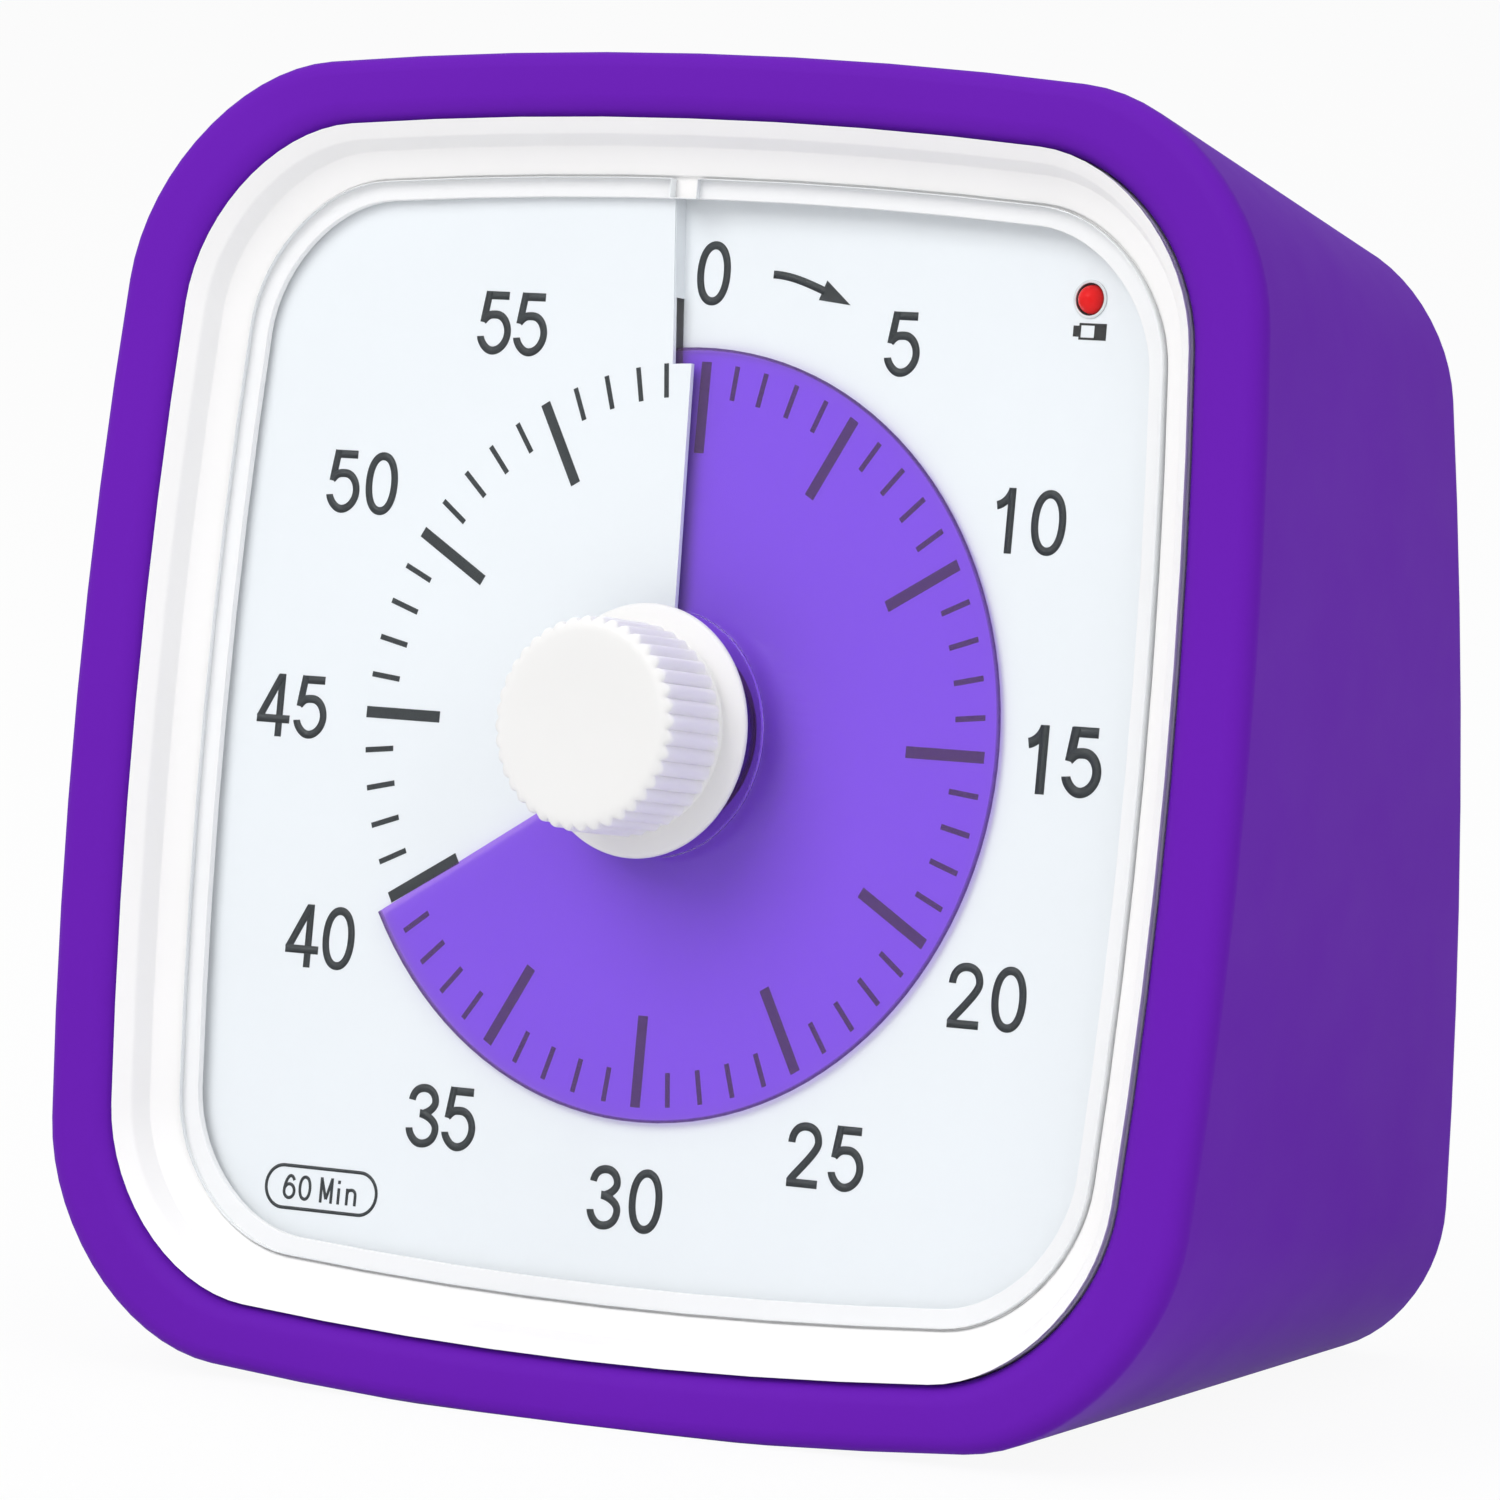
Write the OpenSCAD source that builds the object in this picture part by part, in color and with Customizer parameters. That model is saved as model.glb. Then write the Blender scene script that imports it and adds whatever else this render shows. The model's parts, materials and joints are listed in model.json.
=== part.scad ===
// Visual countdown timer: a rounded square case in a rubber cover that leans back on its
// flat underside, with a clear lens, a fixed dial and a coloured film disc that turns with
// a ribbed centre knob and winds away through a radial slit in the dial.
//
// Two frames are used. The face frame has its origin at the centre of the dial, x to the
// right, y up the face and z out of the face. The back frame has x to the right, y as the
// height above the table and z forward from the flat back of the cover.

/* [Outer shape] */
// Width of the rubber cover at its front edge
front_width = 82; // [72:0.5:102]
// Height of the rubber cover at its front edge, along the face
front_height = 79.8; // [70:0.2:100]
// Width of the rubber cover at its back edge
back_width = 63.6; // [60:0.2:78]
// Height of the top of the back edge above the dial centre
back_rise = 27.8; // [25:0.1:36]
// Angle at which the face leans back
face_tilt = 9.3; // [4:0.1:12]
// Distance from the dial centre to the flat back
back_distance = 36.7; // [35:0.1:44]
// Corner radius at the front edge
front_corner_radius = 13; // [10:0.5:18]
// Corner radius at the back edge
back_corner_radius = 9.3; // [7:0.1:12]
// Inward bend of each front side at its ends
front_bow = 2.4; // [0:0.1:3]
// Inward bend of the left and right back edges at their ends
back_bow = 1.4; // [0:0.1:2]
// Height by which the front outline sits below the dial centre
dial_offset = 0.5; // [0:0.1:1.5]
// Depth planed off the underside to make its flat land
base_flat = 0.3; // [0.2:0.05:0.5]

/* [Rubber cover] */
// Wall thickness of the rubber cover
cover_wall = 2; // [1.4:0.1:2.4]
// Height of the cover's front face above the dial plane
lip_height = 4.2; // [3.6:0.1:5]
// Width of the front lip
lip_width = 3.9; // [3.4:0.1:4.6]
// Extra width of the lip at the left and right
lip_side_extra = 1; // [0:0.1:1.5]
// Width of the lip around the back
back_lip_width = 3.4; // [2.6:0.1:3.5]
// Edge rounding of the rubber
cover_rounding = 1.2; // [0.6:0.1:1.8]
// Gap between the rubber and the housings
cover_gap = 0.1; // [0.05:0.05:0.3]

/* [Housings] */
// Wall thickness of the plastic housings
housing_wall = 2; // [1.4:0.1:2.4]
// Distance from the front outline to the bezel's inner edge
bezel_inset = 5.5; // [5:0.1:6]
// Distance from the front outline to the lens recess wall
recess_inset = 7.1; // [6.6:0.1:7.4]
// Distance from the front outline to the edge of the visible dial
ledge_inset = 8.4; // [8:0.1:9]
// Height of the ledge that carries the lens
ledge_top = 0.9; // [0.7:0.05:1.2]
// Thickness of the ledge that carries the lens
ledge_thickness = 0.5; // [0.4:0.05:0.7]
// Depth of the joint between the two housings below the cover's front face
joint_depth = 10; // [9:0.5:13]
// Overlap of the back housing's tongue inside the front housing
joint_overlap = 1.6; // [1:0.1:2]
// Clearance between parts that are assembled into one another
fit_gap = 0.15; // [0.1:0.05:0.25]

/* [Lens] */
// Thickness of the lens
lens_thickness = 0.6; // [0.4:0.05:0.9]
// Radius of the hole in the lens
lens_hole_radius = 7.2; // [6.6:0.1:7.6]
// Width of the locating notch in the top edge of the lens
notch_width = 1.8; // [1.2:0.1:2.4]
// Distance of the locating notch to the left of the centre line
notch_offset = 1.6; // [1:0.1:3]

/* [Dial and film] */
// Rise of the dial and of the film in one turn
screw_pitch = 1; // [0.96:0.02:1.2]
// Mean height of the dial face
dial_level = -0.2; // [-0.3:0.05:-0.1]
// Thickness of the dial
dial_thickness = 0.3; // [0.2:0.02:0.32]
// Radius of the hole in the dial
dial_hole_radius = 5.6; // [5.3:0.1:6]
// Radius at which the tongue over the film ends
tongue_radius = 21.5; // [20:0.1:22]
// Radius of the film disc
film_radius = 22.5; // [20:0.1:24]
// Radius of the hole in the film disc
film_hole_radius = 3.9; // [3.7:0.05:4.2]
// Thickness of the film
film_thickness = 0.2; // [0.12:0.02:0.22]
// Minutes shown at rest
rest_minutes = 40; // [5:1:55]
// Radius of the window for the battery light
light_hole_radius = 1.1; // [0.9:0.05:1.4]

/* [Knob] */
// Radius of the grip over its ribs
grip_radius = 6.2; // [5.6:0.1:6.6]
// Number of ribs around the grip
rib_count = 40; // [30:1:48]
// Height of the ribs
rib_height = 0.35; // [0.2:0.05:0.45]
// Height of the knob's cap above the dial plane
knob_height = 9.3; // [7:0.1:11]
// Radius of the flange
flange_radius = 7.3; // [7:0.1:8]
// Height of the flange's face above the dial plane
flange_height = 3.2; // [3:0.1:3.6]
// Thickness of the flange
flange_thickness = 1; // [0.8:0.1:1.2]
// Radius of the stem under the flange
stem_radius = 3.5; // [3.2:0.05:3.6]
// Radius of the steel spindle
spindle_radius = 1.5; // [1.3:0.05:1.7]

/* [Movement] */
// Side of the square movement case
movement_size = 42; // [40:0.5:46]
// Thickness of the movement from front to back
movement_depth = 13; // [12.6:0.1:15]
// Wall thickness of the movement case
case_wall = 1.2; // [1:0.1:1.4]
// Distance from the dial plane to the front of the chassis plate
chassis_level = 1.9; // [1.8:0.05:2.4]
// Thickness of the chassis plate
chassis_thickness = 1.5; // [1.2:0.1:2]
// Module of the hour wheel's teeth
hour_module = 0.28; // [0.26:0.01:0.3]
// Module of the third wheel's teeth
third_module = 0.25; // [0.24:0.01:0.26]
// Module of the seconds wheel's teeth
seconds_module = 0.22; // [0.21:0.01:0.23]
// Module of the intermediate wheel's teeth
inter_module = 0.2; // [0.19:0.01:0.21]

/* [Battery] */
// Diameter of the cell
cell_diameter = 14.5; // [14:0.1:14.5]
// Length of the cell with its button
cell_length = 50.5; // [49:0.1:50.6]
// Height of the cell's axis above the table
cell_height = 20; // [19.5:0.1:21]
// Thickness of the battery door
door_thickness = 1.9; // [1.6:0.1:2]
// Height of the battery door
door_height = 19; // [18:0.1:19.4]
// Radius of the hinge pins on the door
hinge_pin_radius = 0.7; // [0.5:0.05:0.75]

/* [Sound] */
// Radius of the buzzer
buzzer_radius = 8.5; // [7:0.1:9]
// Travel of the volume switch between its end stops
switch_travel = 4; // [3:0.5:5]

/* [Hidden] */
$fn = 48;
tiny = 0.01;
running_gap = 0.05;
thread_gap = 0.02;

// ---- Outline of the case: four arcs joined by four bent sides ----
corner_steps = 15;
side_steps = 7;
corner_signs = [[1, 1], [-1, 1], [-1, -1], [1, -1]];
inset_corner_share = 0.6;
inset_bow_share = 0.05;
back_edge_bow = 0.3;

function rounded_corner(a, b, r, k) = [
  for (i = [0:corner_steps])
    let (turn = 90 * (k + i / corner_steps), s = corner_signs[k])
      [s.x * (a - r) + r * cos(turn), s.y * (b - r) + r * sin(turn)]
];
function side_points(from, to) = [
  for (i = [1:side_steps]) from + (to - from) * i / (side_steps + 1)
];
function bent(p, a, b, bow_x, bow_y) = [
  p.x * (1 - bow_x / a * pow(p.y / b, 2)),
  p.y * (1 - bow_y / b * pow(p.x / a, 2))
];
function outline(a, b, r, bow_x, bow_y) =
  let (corners = [for (k = [0:3]) rounded_corner(a, b, r, k)])
    [
      for (k = [0:3])
        for (p = concat(corners[k], side_points(corners[k][corner_steps], corners[(k + 1) % 4][0])))
          bent(p, a, b, bow_x, bow_y)
    ];

// Seen from the front the rubber is thicker at the left and right
function side_inset(inset) = inset + lip_side_extra * min(1, inset / lip_width);
// The front outline at an inset, in the face frame
function front_outline(inset) =
  let (bow = front_bow * (1 - inset_bow_share * inset))
    [
      for (p = outline(front_width / 2 - side_inset(inset), front_height / 2 - inset,
                       front_corner_radius - inset_corner_share * inset, bow, bow))
        [p.x, p.y - dial_offset]
    ];
// The same outline placed around the dial centre: x right, y backward, z up
function from_face(x, y, z) = [
  x,
  y * sin(face_tilt) - z * cos(face_tilt),
  y * cos(face_tilt) + z * sin(face_tilt)
];
front_bottom = from_face(0, -front_height / 2 - dial_offset, lip_height).z;
back_height = back_rise - front_bottom;
// The back outline at an inset, upright, with its lowest line level with the front one
function back_outline(inset) =
  let (share = 1 - inset_bow_share * inset)
    [
      for (p = outline(back_width / 2 - inset, back_height / 2 - inset,
                       back_corner_radius - inset_corner_share * inset,
                       back_bow * share, back_edge_bow * share))
        [p.x, back_distance, p.y + front_bottom + back_height / 2]
    ];

// A ring of the case's skin. Depths run along the face normal behind the front face,
// or forward from the flat back.
function face_depth(p) = lip_height + p.y * cos(face_tilt) - p.z * sin(face_tilt);
function skin(depth, inset, from_back = false) =
  let (front = front_outline(inset), back = back_outline(inset))
    [
      for (i = [0:len(front) - 1])
        let (
          f = from_face(front[i].x, front[i].y, lip_height),
          b = back[i],
          share = from_back ? 1 - depth / (b.y - f.y) : depth / face_depth(b)
        )
          f + (b - f) * share
    ];

// A flat ring of the front outline at one height above the dial plane
function level_ring(z, inset) = [for (p = front_outline(inset)) from_face(p.x, p.y, z)];

// Rings are joined in order. An open stack gets a cap at each end, a fan around its middle.
// Each cell is split along the same diagonal whichever way the rings run, so nested skins
// keep their gap.
function middle(points) = points * [for (p = points) 1] / len(points);
function ring_middle(points) = [for (k = [0:2]) middle([for (p = points) p[k]])];
module skin_solid(rings, closed = false) {
  count = len(rings[0]);
  last = len(rings) - 1;
  first_middle = len(rings) * count;
  corner = function (i, j) (i % len(rings)) * count + j % count;
  polyhedron(
    points = concat(
      [for (ring = rings) each ring],
      closed ? [] : [ring_middle(rings[0]), ring_middle(rings[last])]
    ),
    faces = concat(
      [
        for (i = [0:closed ? last : last - 1])
          for (j = [0:count - 1])
            let (backward = rings[(i + 1) % len(rings)][j].y > rings[i][j].y)
              each backward ? [
                [corner(i, j), corner(i + 1, j + 1), corner(i + 1, j)],
                [corner(i, j), corner(i, j + 1), corner(i + 1, j + 1)]
              ] : [
                [corner(i, j), corner(i, j + 1), corner(i + 1, j)],
                [corner(i, j + 1), corner(i + 1, j + 1), corner(i + 1, j)]
              ]
      ],
      closed ? [] : [
        for (j = [0:count - 1])
          each [
            [first_middle, corner(0, j + 1), corner(0, j)],
            [first_middle + 1, corner(last, j), corner(last, j + 1)]
          ]
      ]
    )
  );
}

// Points of a quarter round: [depth, inset] pairs from one face to the next
rounding_steps = 4;
function edge_round(depth, inset, radius, start, depth_sign) = [
  for (i = [0:rounding_steps])
    let (turn = start + 90 * i / rounding_steps)
      [depth + depth_sign * radius * cos(turn), inset + radius * sin(turn)]
];

// ---- Placing ----
front_rim_y = min([for (p = concat(skin(cover_rounding, 0), skin(0, cover_rounding))) p.y]);
dial_height = -front_bottom - base_flat;
dial_y = -(front_rim_y + back_distance) / 2;
back_y = dial_y + back_distance;

// A point of the face frame in the back frame
function to_back(p) = [
  p.x,
  dial_height + from_face(p.x, p.y, p.z).z,
  back_distance - from_face(p.x, p.y, p.z).y
];

module from_dial() translate([0, dial_y, dial_height]) children();
module in_face() from_dial() rotate([90 - face_tilt, 0, 0]) children();
module in_back() translate([0, back_y, 0]) rotate([90, 0, 0]) children();

// A stack along the face normal, from one height to another
module rod(radius, low, high, at = [0, 0]) {
  translate([at.x, at.y, low]) cylinder(r = radius, h = high - low);
}
module slab(corner_low, corner_high) {
  translate(corner_low) cube(corner_high - corner_low);
}
// A six-sided tube swept through points, none of its legs along x
lead_sides = 6;
function unit(v) = v / norm(v);
function path_way(points, i) = unit(points[min(i + 1, len(points) - 1)] - points[max(i - 1, 0)]);
module lead(points, radius) {
  rings = [
    for (i = [0:len(points) - 1])
      let (
        way = path_way(points, i),
        side = unit(cross(way, [1, 0, 0])),
        top = cross(side, way)
      )
        [
          for (k = [0:lead_sides - 1])
            points[i] + radius * (cos(k * 360 / lead_sides) * side + sin(k * 360 / lead_sides) * top)
        ]
  ];
  skin_solid(rings);
}

// ---- Levels along the face normal ----
bezel_top = lip_height - cover_wall - cover_gap;
bezel_rim = lip_height - 0.2;
rim_inset = lip_width + cover_gap;
skin_inset = cover_wall + cover_gap;
inner_inset = skin_inset + housing_wall;
shoulder_inset = ledge_inset - 1;
ledge_under = ledge_top - ledge_thickness;
lens_top = ledge_top + lens_thickness;
recess_top = lens_top - 0.3;
chassis_inset = skin_inset + housing_wall + 0.5;
chassis_back = -chassis_level - chassis_thickness;
case_back = chassis_back - movement_depth;

// ---- Dial and film: screw surfaces of one pitch ----
slit_right = -5;
slit_left = 354.9;
tongue_end = 358.4;
ray_step = 3;
dial_low = dial_level - screw_pitch / 2;
film_clearance = (screw_pitch - dial_thickness - film_thickness) / 2;
film_low = dial_low + film_clearance;
rest_angle = rest_minutes * 6;
light_inset = [15.4, 13.6];
light_at = [front_width / 2 - light_inset.x, front_height / 2 - light_inset.y];
function screw_height(angle, low) = low + screw_pitch * angle / 360;
// Clockwise from the top of the dial
function at_angle(radius, angle, z) = [radius * sin(angle), radius * cos(angle), z];
// Reach of a ray from the dial centre to a closed outline
function ray_reach(points, angle) =
  let (way = [sin(angle), cos(angle)], count = len(points))
    [
      for (i = [0:count - 1])
        let (
          p = points[i],
          q = points[(i + 1) % count],
          side_p = way.x * p.y - way.y * p.x,
          side_q = way.x * q.y - way.y * q.x,
          hit = side_p == side_q ? p : p + (q - p) * side_p / (side_p - side_q)
        )
          if (side_p * side_q <= 0 && hit * way > 0) norm(hit)
    ][0];

dial_inset = shoulder_inset + 0.4;
dial_edge = front_outline(dial_inset);
dial_cells = 119;
tongue_cells = 2;
function dial_angle(i) =
  i <= dial_cells
    ? slit_right + (slit_left - slit_right) * i / dial_cells
    : slit_left + (tongue_end - slit_left) * (i - dial_cells) / tongue_cells;
function dial_radius(i, j) =
  j == 0 ? dial_hole_radius : j == 1 ? tongue_radius : ray_reach(dial_edge, dial_angle(i));
// Point numbers: three stations a ray on the dial, two on the tongue, top then bottom
function dial_corner(i, j, s) =
  (i <= dial_cells ? 3 * i + j : 3 * (dial_cells + 1) + 2 * (i - dial_cells - 1) + j) * 2 + s;
function two_triangles(a, b, c, d) = [[a, b, c], [a, c, d]];
module dial_sheet() {
  rays = dial_cells + tongue_cells;
  c = function (i, j, s) dial_corner(i, j, s);
  polyhedron(
    points = [
      for (i = [0:rays])
        for (j = [0:i <= dial_cells ? 2 : 1])
          for (s = [0, 1])
            at_angle(dial_radius(i, j), dial_angle(i),
                     screw_height(dial_angle(i), dial_low) - s * dial_thickness)
    ],
    faces = [
      for (i = [0:rays - 1])
        for (j = [0:i < dial_cells ? 1 : 0])
          each concat(
            two_triangles(c(i, j, 0), c(i, j + 1, 0), c(i + 1, j + 1, 0), c(i + 1, j, 0)),
            two_triangles(c(i, j, 1), c(i + 1, j, 1), c(i + 1, j + 1, 1), c(i, j + 1, 1))
          ),
      for (i = [0:rays - 1])
        let (j = i < dial_cells ? 2 : 1)
          each concat(
            two_triangles(c(i, j, 0), c(i, j, 1), c(i + 1, j, 1), c(i + 1, j, 0)),
            two_triangles(c(i, 0, 0), c(i + 1, 0, 0), c(i + 1, 0, 1), c(i, 0, 1))
          ),
      for (j = [0, 1])
        each two_triangles(c(0, j, 0), c(0, j, 1), c(0, j + 1, 1), c(0, j + 1, 0)),
      each two_triangles(c(dial_cells, 1, 0), c(dial_cells, 2, 0),
                         c(dial_cells, 2, 1), c(dial_cells, 1, 1)),
      each two_triangles(c(rays, 0, 0), c(rays, 1, 0), c(rays, 1, 1), c(rays, 0, 1))
    ]
  );
}

film_cells = 360 / ray_step;
module film_sheet() {
  c = function (i, j, s) (i * 2 + j) * 2 + s;
  polyhedron(
    points = [
      for (i = [0:film_cells])
        let (angle = rest_angle - 360 + i * ray_step)
          for (j = [0, 1])
            for (s = [0, 1])
              at_angle(j == 0 ? film_hole_radius : film_radius, angle,
                       screw_height(angle, film_low) + (1 - s) * film_thickness)
    ],
    faces = [
      for (i = [0:film_cells - 1])
        each concat(
          two_triangles(c(i, 0, 0), c(i, 1, 0), c(i + 1, 1, 0), c(i + 1, 0, 0)),
          two_triangles(c(i, 0, 1), c(i + 1, 0, 1), c(i + 1, 1, 1), c(i, 1, 1)),
          two_triangles(c(i, 1, 0), c(i, 1, 1), c(i + 1, 1, 1), c(i + 1, 1, 0)),
          two_triangles(c(i, 0, 0), c(i + 1, 0, 0), c(i + 1, 0, 1), c(i, 0, 1))
        ),
      each two_triangles(c(0, 0, 0), c(0, 0, 1), c(0, 1, 1), c(0, 1, 0)),
      each two_triangles(c(film_cells, 0, 0), c(film_cells, 1, 0),
                         c(film_cells, 1, 1), c(film_cells, 0, 1))
    ]
  );
}

// ---- Going train ----
pinion_teeth = 8;
hour_teeth = 64;
third_teeth = 60;
seconds_teeth = 48;
inter_teeth = 40;
function mesh_distance(teeth, gear_module) = gear_module * (teeth + pinion_teeth) / 2;
function beside(origin, distance, way) = origin + distance * [cos(way), sin(way)];
third_way = 90;
seconds_way = 0;
inter_way = -60;
rotor_way = -90;
hour_at = [0, 0];
third_at = beside(hour_at, mesh_distance(hour_teeth, hour_module), third_way);
seconds_at = beside(third_at, mesh_distance(third_teeth, third_module), seconds_way);
inter_at = beside(seconds_at, mesh_distance(seconds_teeth, seconds_module), inter_way);
rotor_at = beside(inter_at, mesh_distance(inter_teeth, inter_module), rotor_way);
// Turn of a driven gear that puts its gap on the driving gear's tooth
function mesh_phase(teeth_a, phase_a, teeth_b, way) =
  way + 180 + ((way - phase_a) * teeth_a / 360 - 0.5) * 360 / teeth_b;
third_pinion_phase = mesh_phase(hour_teeth, 0, pinion_teeth, third_way);
seconds_pinion_phase = mesh_phase(third_teeth, 0, pinion_teeth, seconds_way);
inter_pinion_phase = mesh_phase(seconds_teeth, 0, pinion_teeth, inter_way);
rotor_pinion_phase = mesh_phase(inter_teeth, 0, pinion_teeth, rotor_way);
addendum = 0.9;
dedendum = 1.3;
// Half widths of a tooth at root, pitch line and tip, as shares of the tooth spacing
root_share = 0.26;
pitch_share = 0.2;
tip_share = 0.09;
arbor_radius = 0.5;
pivot_radius = 0.3;

module gear(teeth, gear_module, phase, low, high, at) {
  pitch_radius = gear_module * teeth / 2;
  stations = [
    [-root_share, pitch_radius - dedendum * gear_module],
    [-pitch_share, pitch_radius],
    [-tip_share, pitch_radius + addendum * gear_module],
    [tip_share, pitch_radius + addendum * gear_module],
    [pitch_share, pitch_radius],
    [root_share, pitch_radius - dedendum * gear_module]
  ];
  translate([at.x, at.y, low])
    linear_extrude(high - low)
      polygon([
        for (tooth = [0:teeth - 1])
          for (s = stations)
            let (turn = phase + (tooth + s[0]) * 360 / teeth)
              s[1] * [cos(turn), sin(turn)]
      ]);
}

// Levels of the train, measured back from the chassis plate
case_floor = chassis_back - case_wall;
hour_top = case_floor - 1.8;
hour_low = hour_top - 1;
third_top = hour_low - 1.6;
third_low = third_top - 0.8;
seconds_top = third_low - 1.4;
seconds_low = seconds_top - 0.6;
inter_top = seconds_low - 1;
inter_low = inter_top - 0.5;
case_inner_back = case_back + case_wall;
split_level = chassis_back - 6;
magnet_top = hour_low - 1;
magnet_low = seconds_top - 0.4;
magnet_radius = 2.4;
stator_top = (magnet_top + magnet_low) / 2 + 0.4;
stator_low = stator_top - 0.8;
board_top = case_inner_back + 1.6;
board_low = board_top - 0.8;
wiper_low = board_top + 0.1;

// The arbor shows on both sides of its wheel and pinion, with a thin pivot at each end
module arbor(at, wheel_low, pinion_high) {
  rod(pivot_radius, case_inner_back - pivot_reach, arbor_low, at);
  rod(arbor_radius, arbor_low, wheel_low, at);
  rod(arbor_radius, pinion_high, arbor_high, at);
  rod(pivot_radius, arbor_high, case_floor + pivot_reach, at);
}
pivot_reach = 0.5;
arbor_high = case_floor - 0.2;
arbor_low = case_inner_back + 0.2;

// ---- Screws ----
screw_radius = 0.9;
head_radius = 1.8;
head_thickness = 1.2;
case_screw_place = movement_size / 2 - 2.8;

// Housing posts: [x, height above the table]
post_radius = 2.6;
top_post = [16, back_height - inner_inset - 1];
bottom_post = [22, inner_inset + 3];
post_places = [
  for (side = [-1, 1]) each [[side * top_post.x, top_post.y], [side * bottom_post.x, bottom_post.y]]
];
// Distances from the flat back, towards the front
plate_outer = cover_wall;
plate_inner = plate_outer + housing_wall;
sleeve_end = back_distance - 12;
post_start = sleeve_end + fit_gap;
seat_depth = plate_inner + 8;
chassis_reach = back_distance + 8;

// ---- Battery box, in the back frame ----
cell_clearance = 0.45;
contact_room = 1.1;
spring_room = 3.6;
cell_depth = plate_inner + 0.65 + cell_diameter / 2;
box_half_height = cell_diameter / 2 + cell_clearance;
box_front = cell_depth + box_half_height;
box_right = cell_length / 2 + (contact_room + spring_room) / 2;
cell_right = box_right - contact_room;
box_wall = 1.2;
door_low = cell_height - door_height / 2;
door_half_width = box_right - 0.5;
hinge_depth = plate_outer + door_thickness / 2;
hinge_height = door_low + door_thickness / 2;
pin_reach = 1.2;
contact_thickness = 0.4;
contact_half = 5;
contact_gap = 0.05;
contact_outer = box_right - contact_gap;
tab_half = 1.5;
tab_front = box_front + box_wall + 1.2;

// ---- Alarm board, in the back frame ----
board_depth = plate_inner + 6;
board_thickness = 1.2;
board_half_width = 24;
board_bottom = cell_height + box_half_height + box_wall + 5.1;
board_high = top_post.y - post_radius - 2.3;
board_post = [board_half_width - 2.8, board_bottom + 4.4];
buzzer_at = [-9, board_high - 11];
switch_at = [13, board_high - 7.5];
slot_half_height = 1.6;
slider_half = 1.5;
lead_radius = 0.45;
lead_spread = 1.2;
lead_exit = [-11, 2];

module silicone_cover() color([0.4, 0.13, 0.68]) {
  lip_back = cover_wall;
  r = cover_rounding;
  front_rings = [
    for (p = concat(
      [[lip_back, lip_width]],
      edge_round(r, lip_width - r, r, 90, 1),
      edge_round(r, r, r, 180, 1)
    ))
      skin(p[0], p[1])
  ];
  back_rings = [
    for (p = concat(
      edge_round(r, r, r, 270, -1),
      [[0, back_lip_width], [lip_back, back_lip_width], [lip_back, cover_wall]]
    ))
      skin(p[0], p[1], true)
  ];
  difference() {
    from_dial()
      skin_solid(concat(
        front_rings, back_rings, [skin(joint_depth, cover_wall), skin(lip_back, cover_wall)]
      ), closed = true);
    translate([-front_width, -front_width, -front_width])
      cube([2 * front_width, 2 * front_width, front_width]);
  }
}

module front_housing() color([0.95, 0.94, 0.94]) from_dial() {
  depth = function (z) lip_height - z;
  tongue_inset = skin_inset + housing_wall / 2 - fit_gap;
  tongue_depth = joint_depth - joint_overlap - fit_gap;
  skin_solid([
    skin(depth(bezel_top), skin_inset), skin(joint_depth, skin_inset),
    skin(joint_depth, tongue_inset), skin(tongue_depth, tongue_inset),
    skin(tongue_depth, inner_inset), skin(depth(-chassis_level), inner_inset),
    level_ring(-chassis_level, shoulder_inset), level_ring(ledge_under, shoulder_inset),
    level_ring(ledge_under, ledge_inset), level_ring(ledge_top, ledge_inset),
    level_ring(ledge_top, recess_inset), level_ring(recess_top, recess_inset),
    level_ring(bezel_top, bezel_inset),
    skin(depth(bezel_rim), rim_inset), skin(depth(bezel_top), rim_inset)
  ], closed = true);
}

module rear_housing() color([0.95, 0.94, 0.94]) {
  sleeve_low = plate_outer + tiny;
  difference() {
    union() {
      from_dial() skin_solid([
        skin(plate_inner, inner_inset, true), skin(joint_depth - joint_overlap, inner_inset),
        skin(joint_depth - joint_overlap, skin_inset + housing_wall / 2),
        skin(joint_depth, skin_inset + housing_wall / 2), skin(joint_depth, skin_inset),
        skin(plate_outer, skin_inset, true)
      ]);
      in_back() {
        for (p = post_places)
          rod(post_radius, sleeve_low, sleeve_end, p);
        slab([-box_right - box_wall, cell_height - box_half_height - box_wall, sleeve_low],
             [box_right + box_wall, cell_height + box_half_height + box_wall,
              box_front + box_wall]);
        slab([-box_right - box_wall, door_low - 0.6, plate_inner - tiny],
             [box_right + box_wall, door_low + door_height + box_wall, plate_inner + box_wall]);
        for (side = [-1, 1])
          rod(2, sleeve_low, board_depth, [side * board_post.x, board_post.y]);
      }
    }
    in_back() {
      for (p = post_places) {
        rod(screw_radius + 0.25, 0, sleeve_end + tiny, p);
        rod(head_radius + 0.3, 0, seat_depth, p);
      }
      slab([-box_right, cell_height - box_half_height, plate_inner - tiny],
           [box_right, cell_height + box_half_height, box_front]);
      battery_opening();
      for (side = [-1, 1]) {
        slab([side * (box_right - 0.5) - 0.5, cell_height - tab_half - fit_gap, box_front - tiny],
             [side * (box_right - 0.5) + 0.5, cell_height + tab_half + fit_gap, tab_front]);
        rod(screw_radius - 0.1, plate_inner, board_depth + tiny, [side * board_post.x, board_post.y]);
      }
      slab([switch_at.x - switch_travel - slider_half - fit_gap, switch_at.y - slot_half_height, 0],
           [switch_at.x + slider_half + fit_gap, switch_at.y + slot_half_height, plate_inner + tiny]);
      sound_holes();
    }
  }
}

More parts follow.
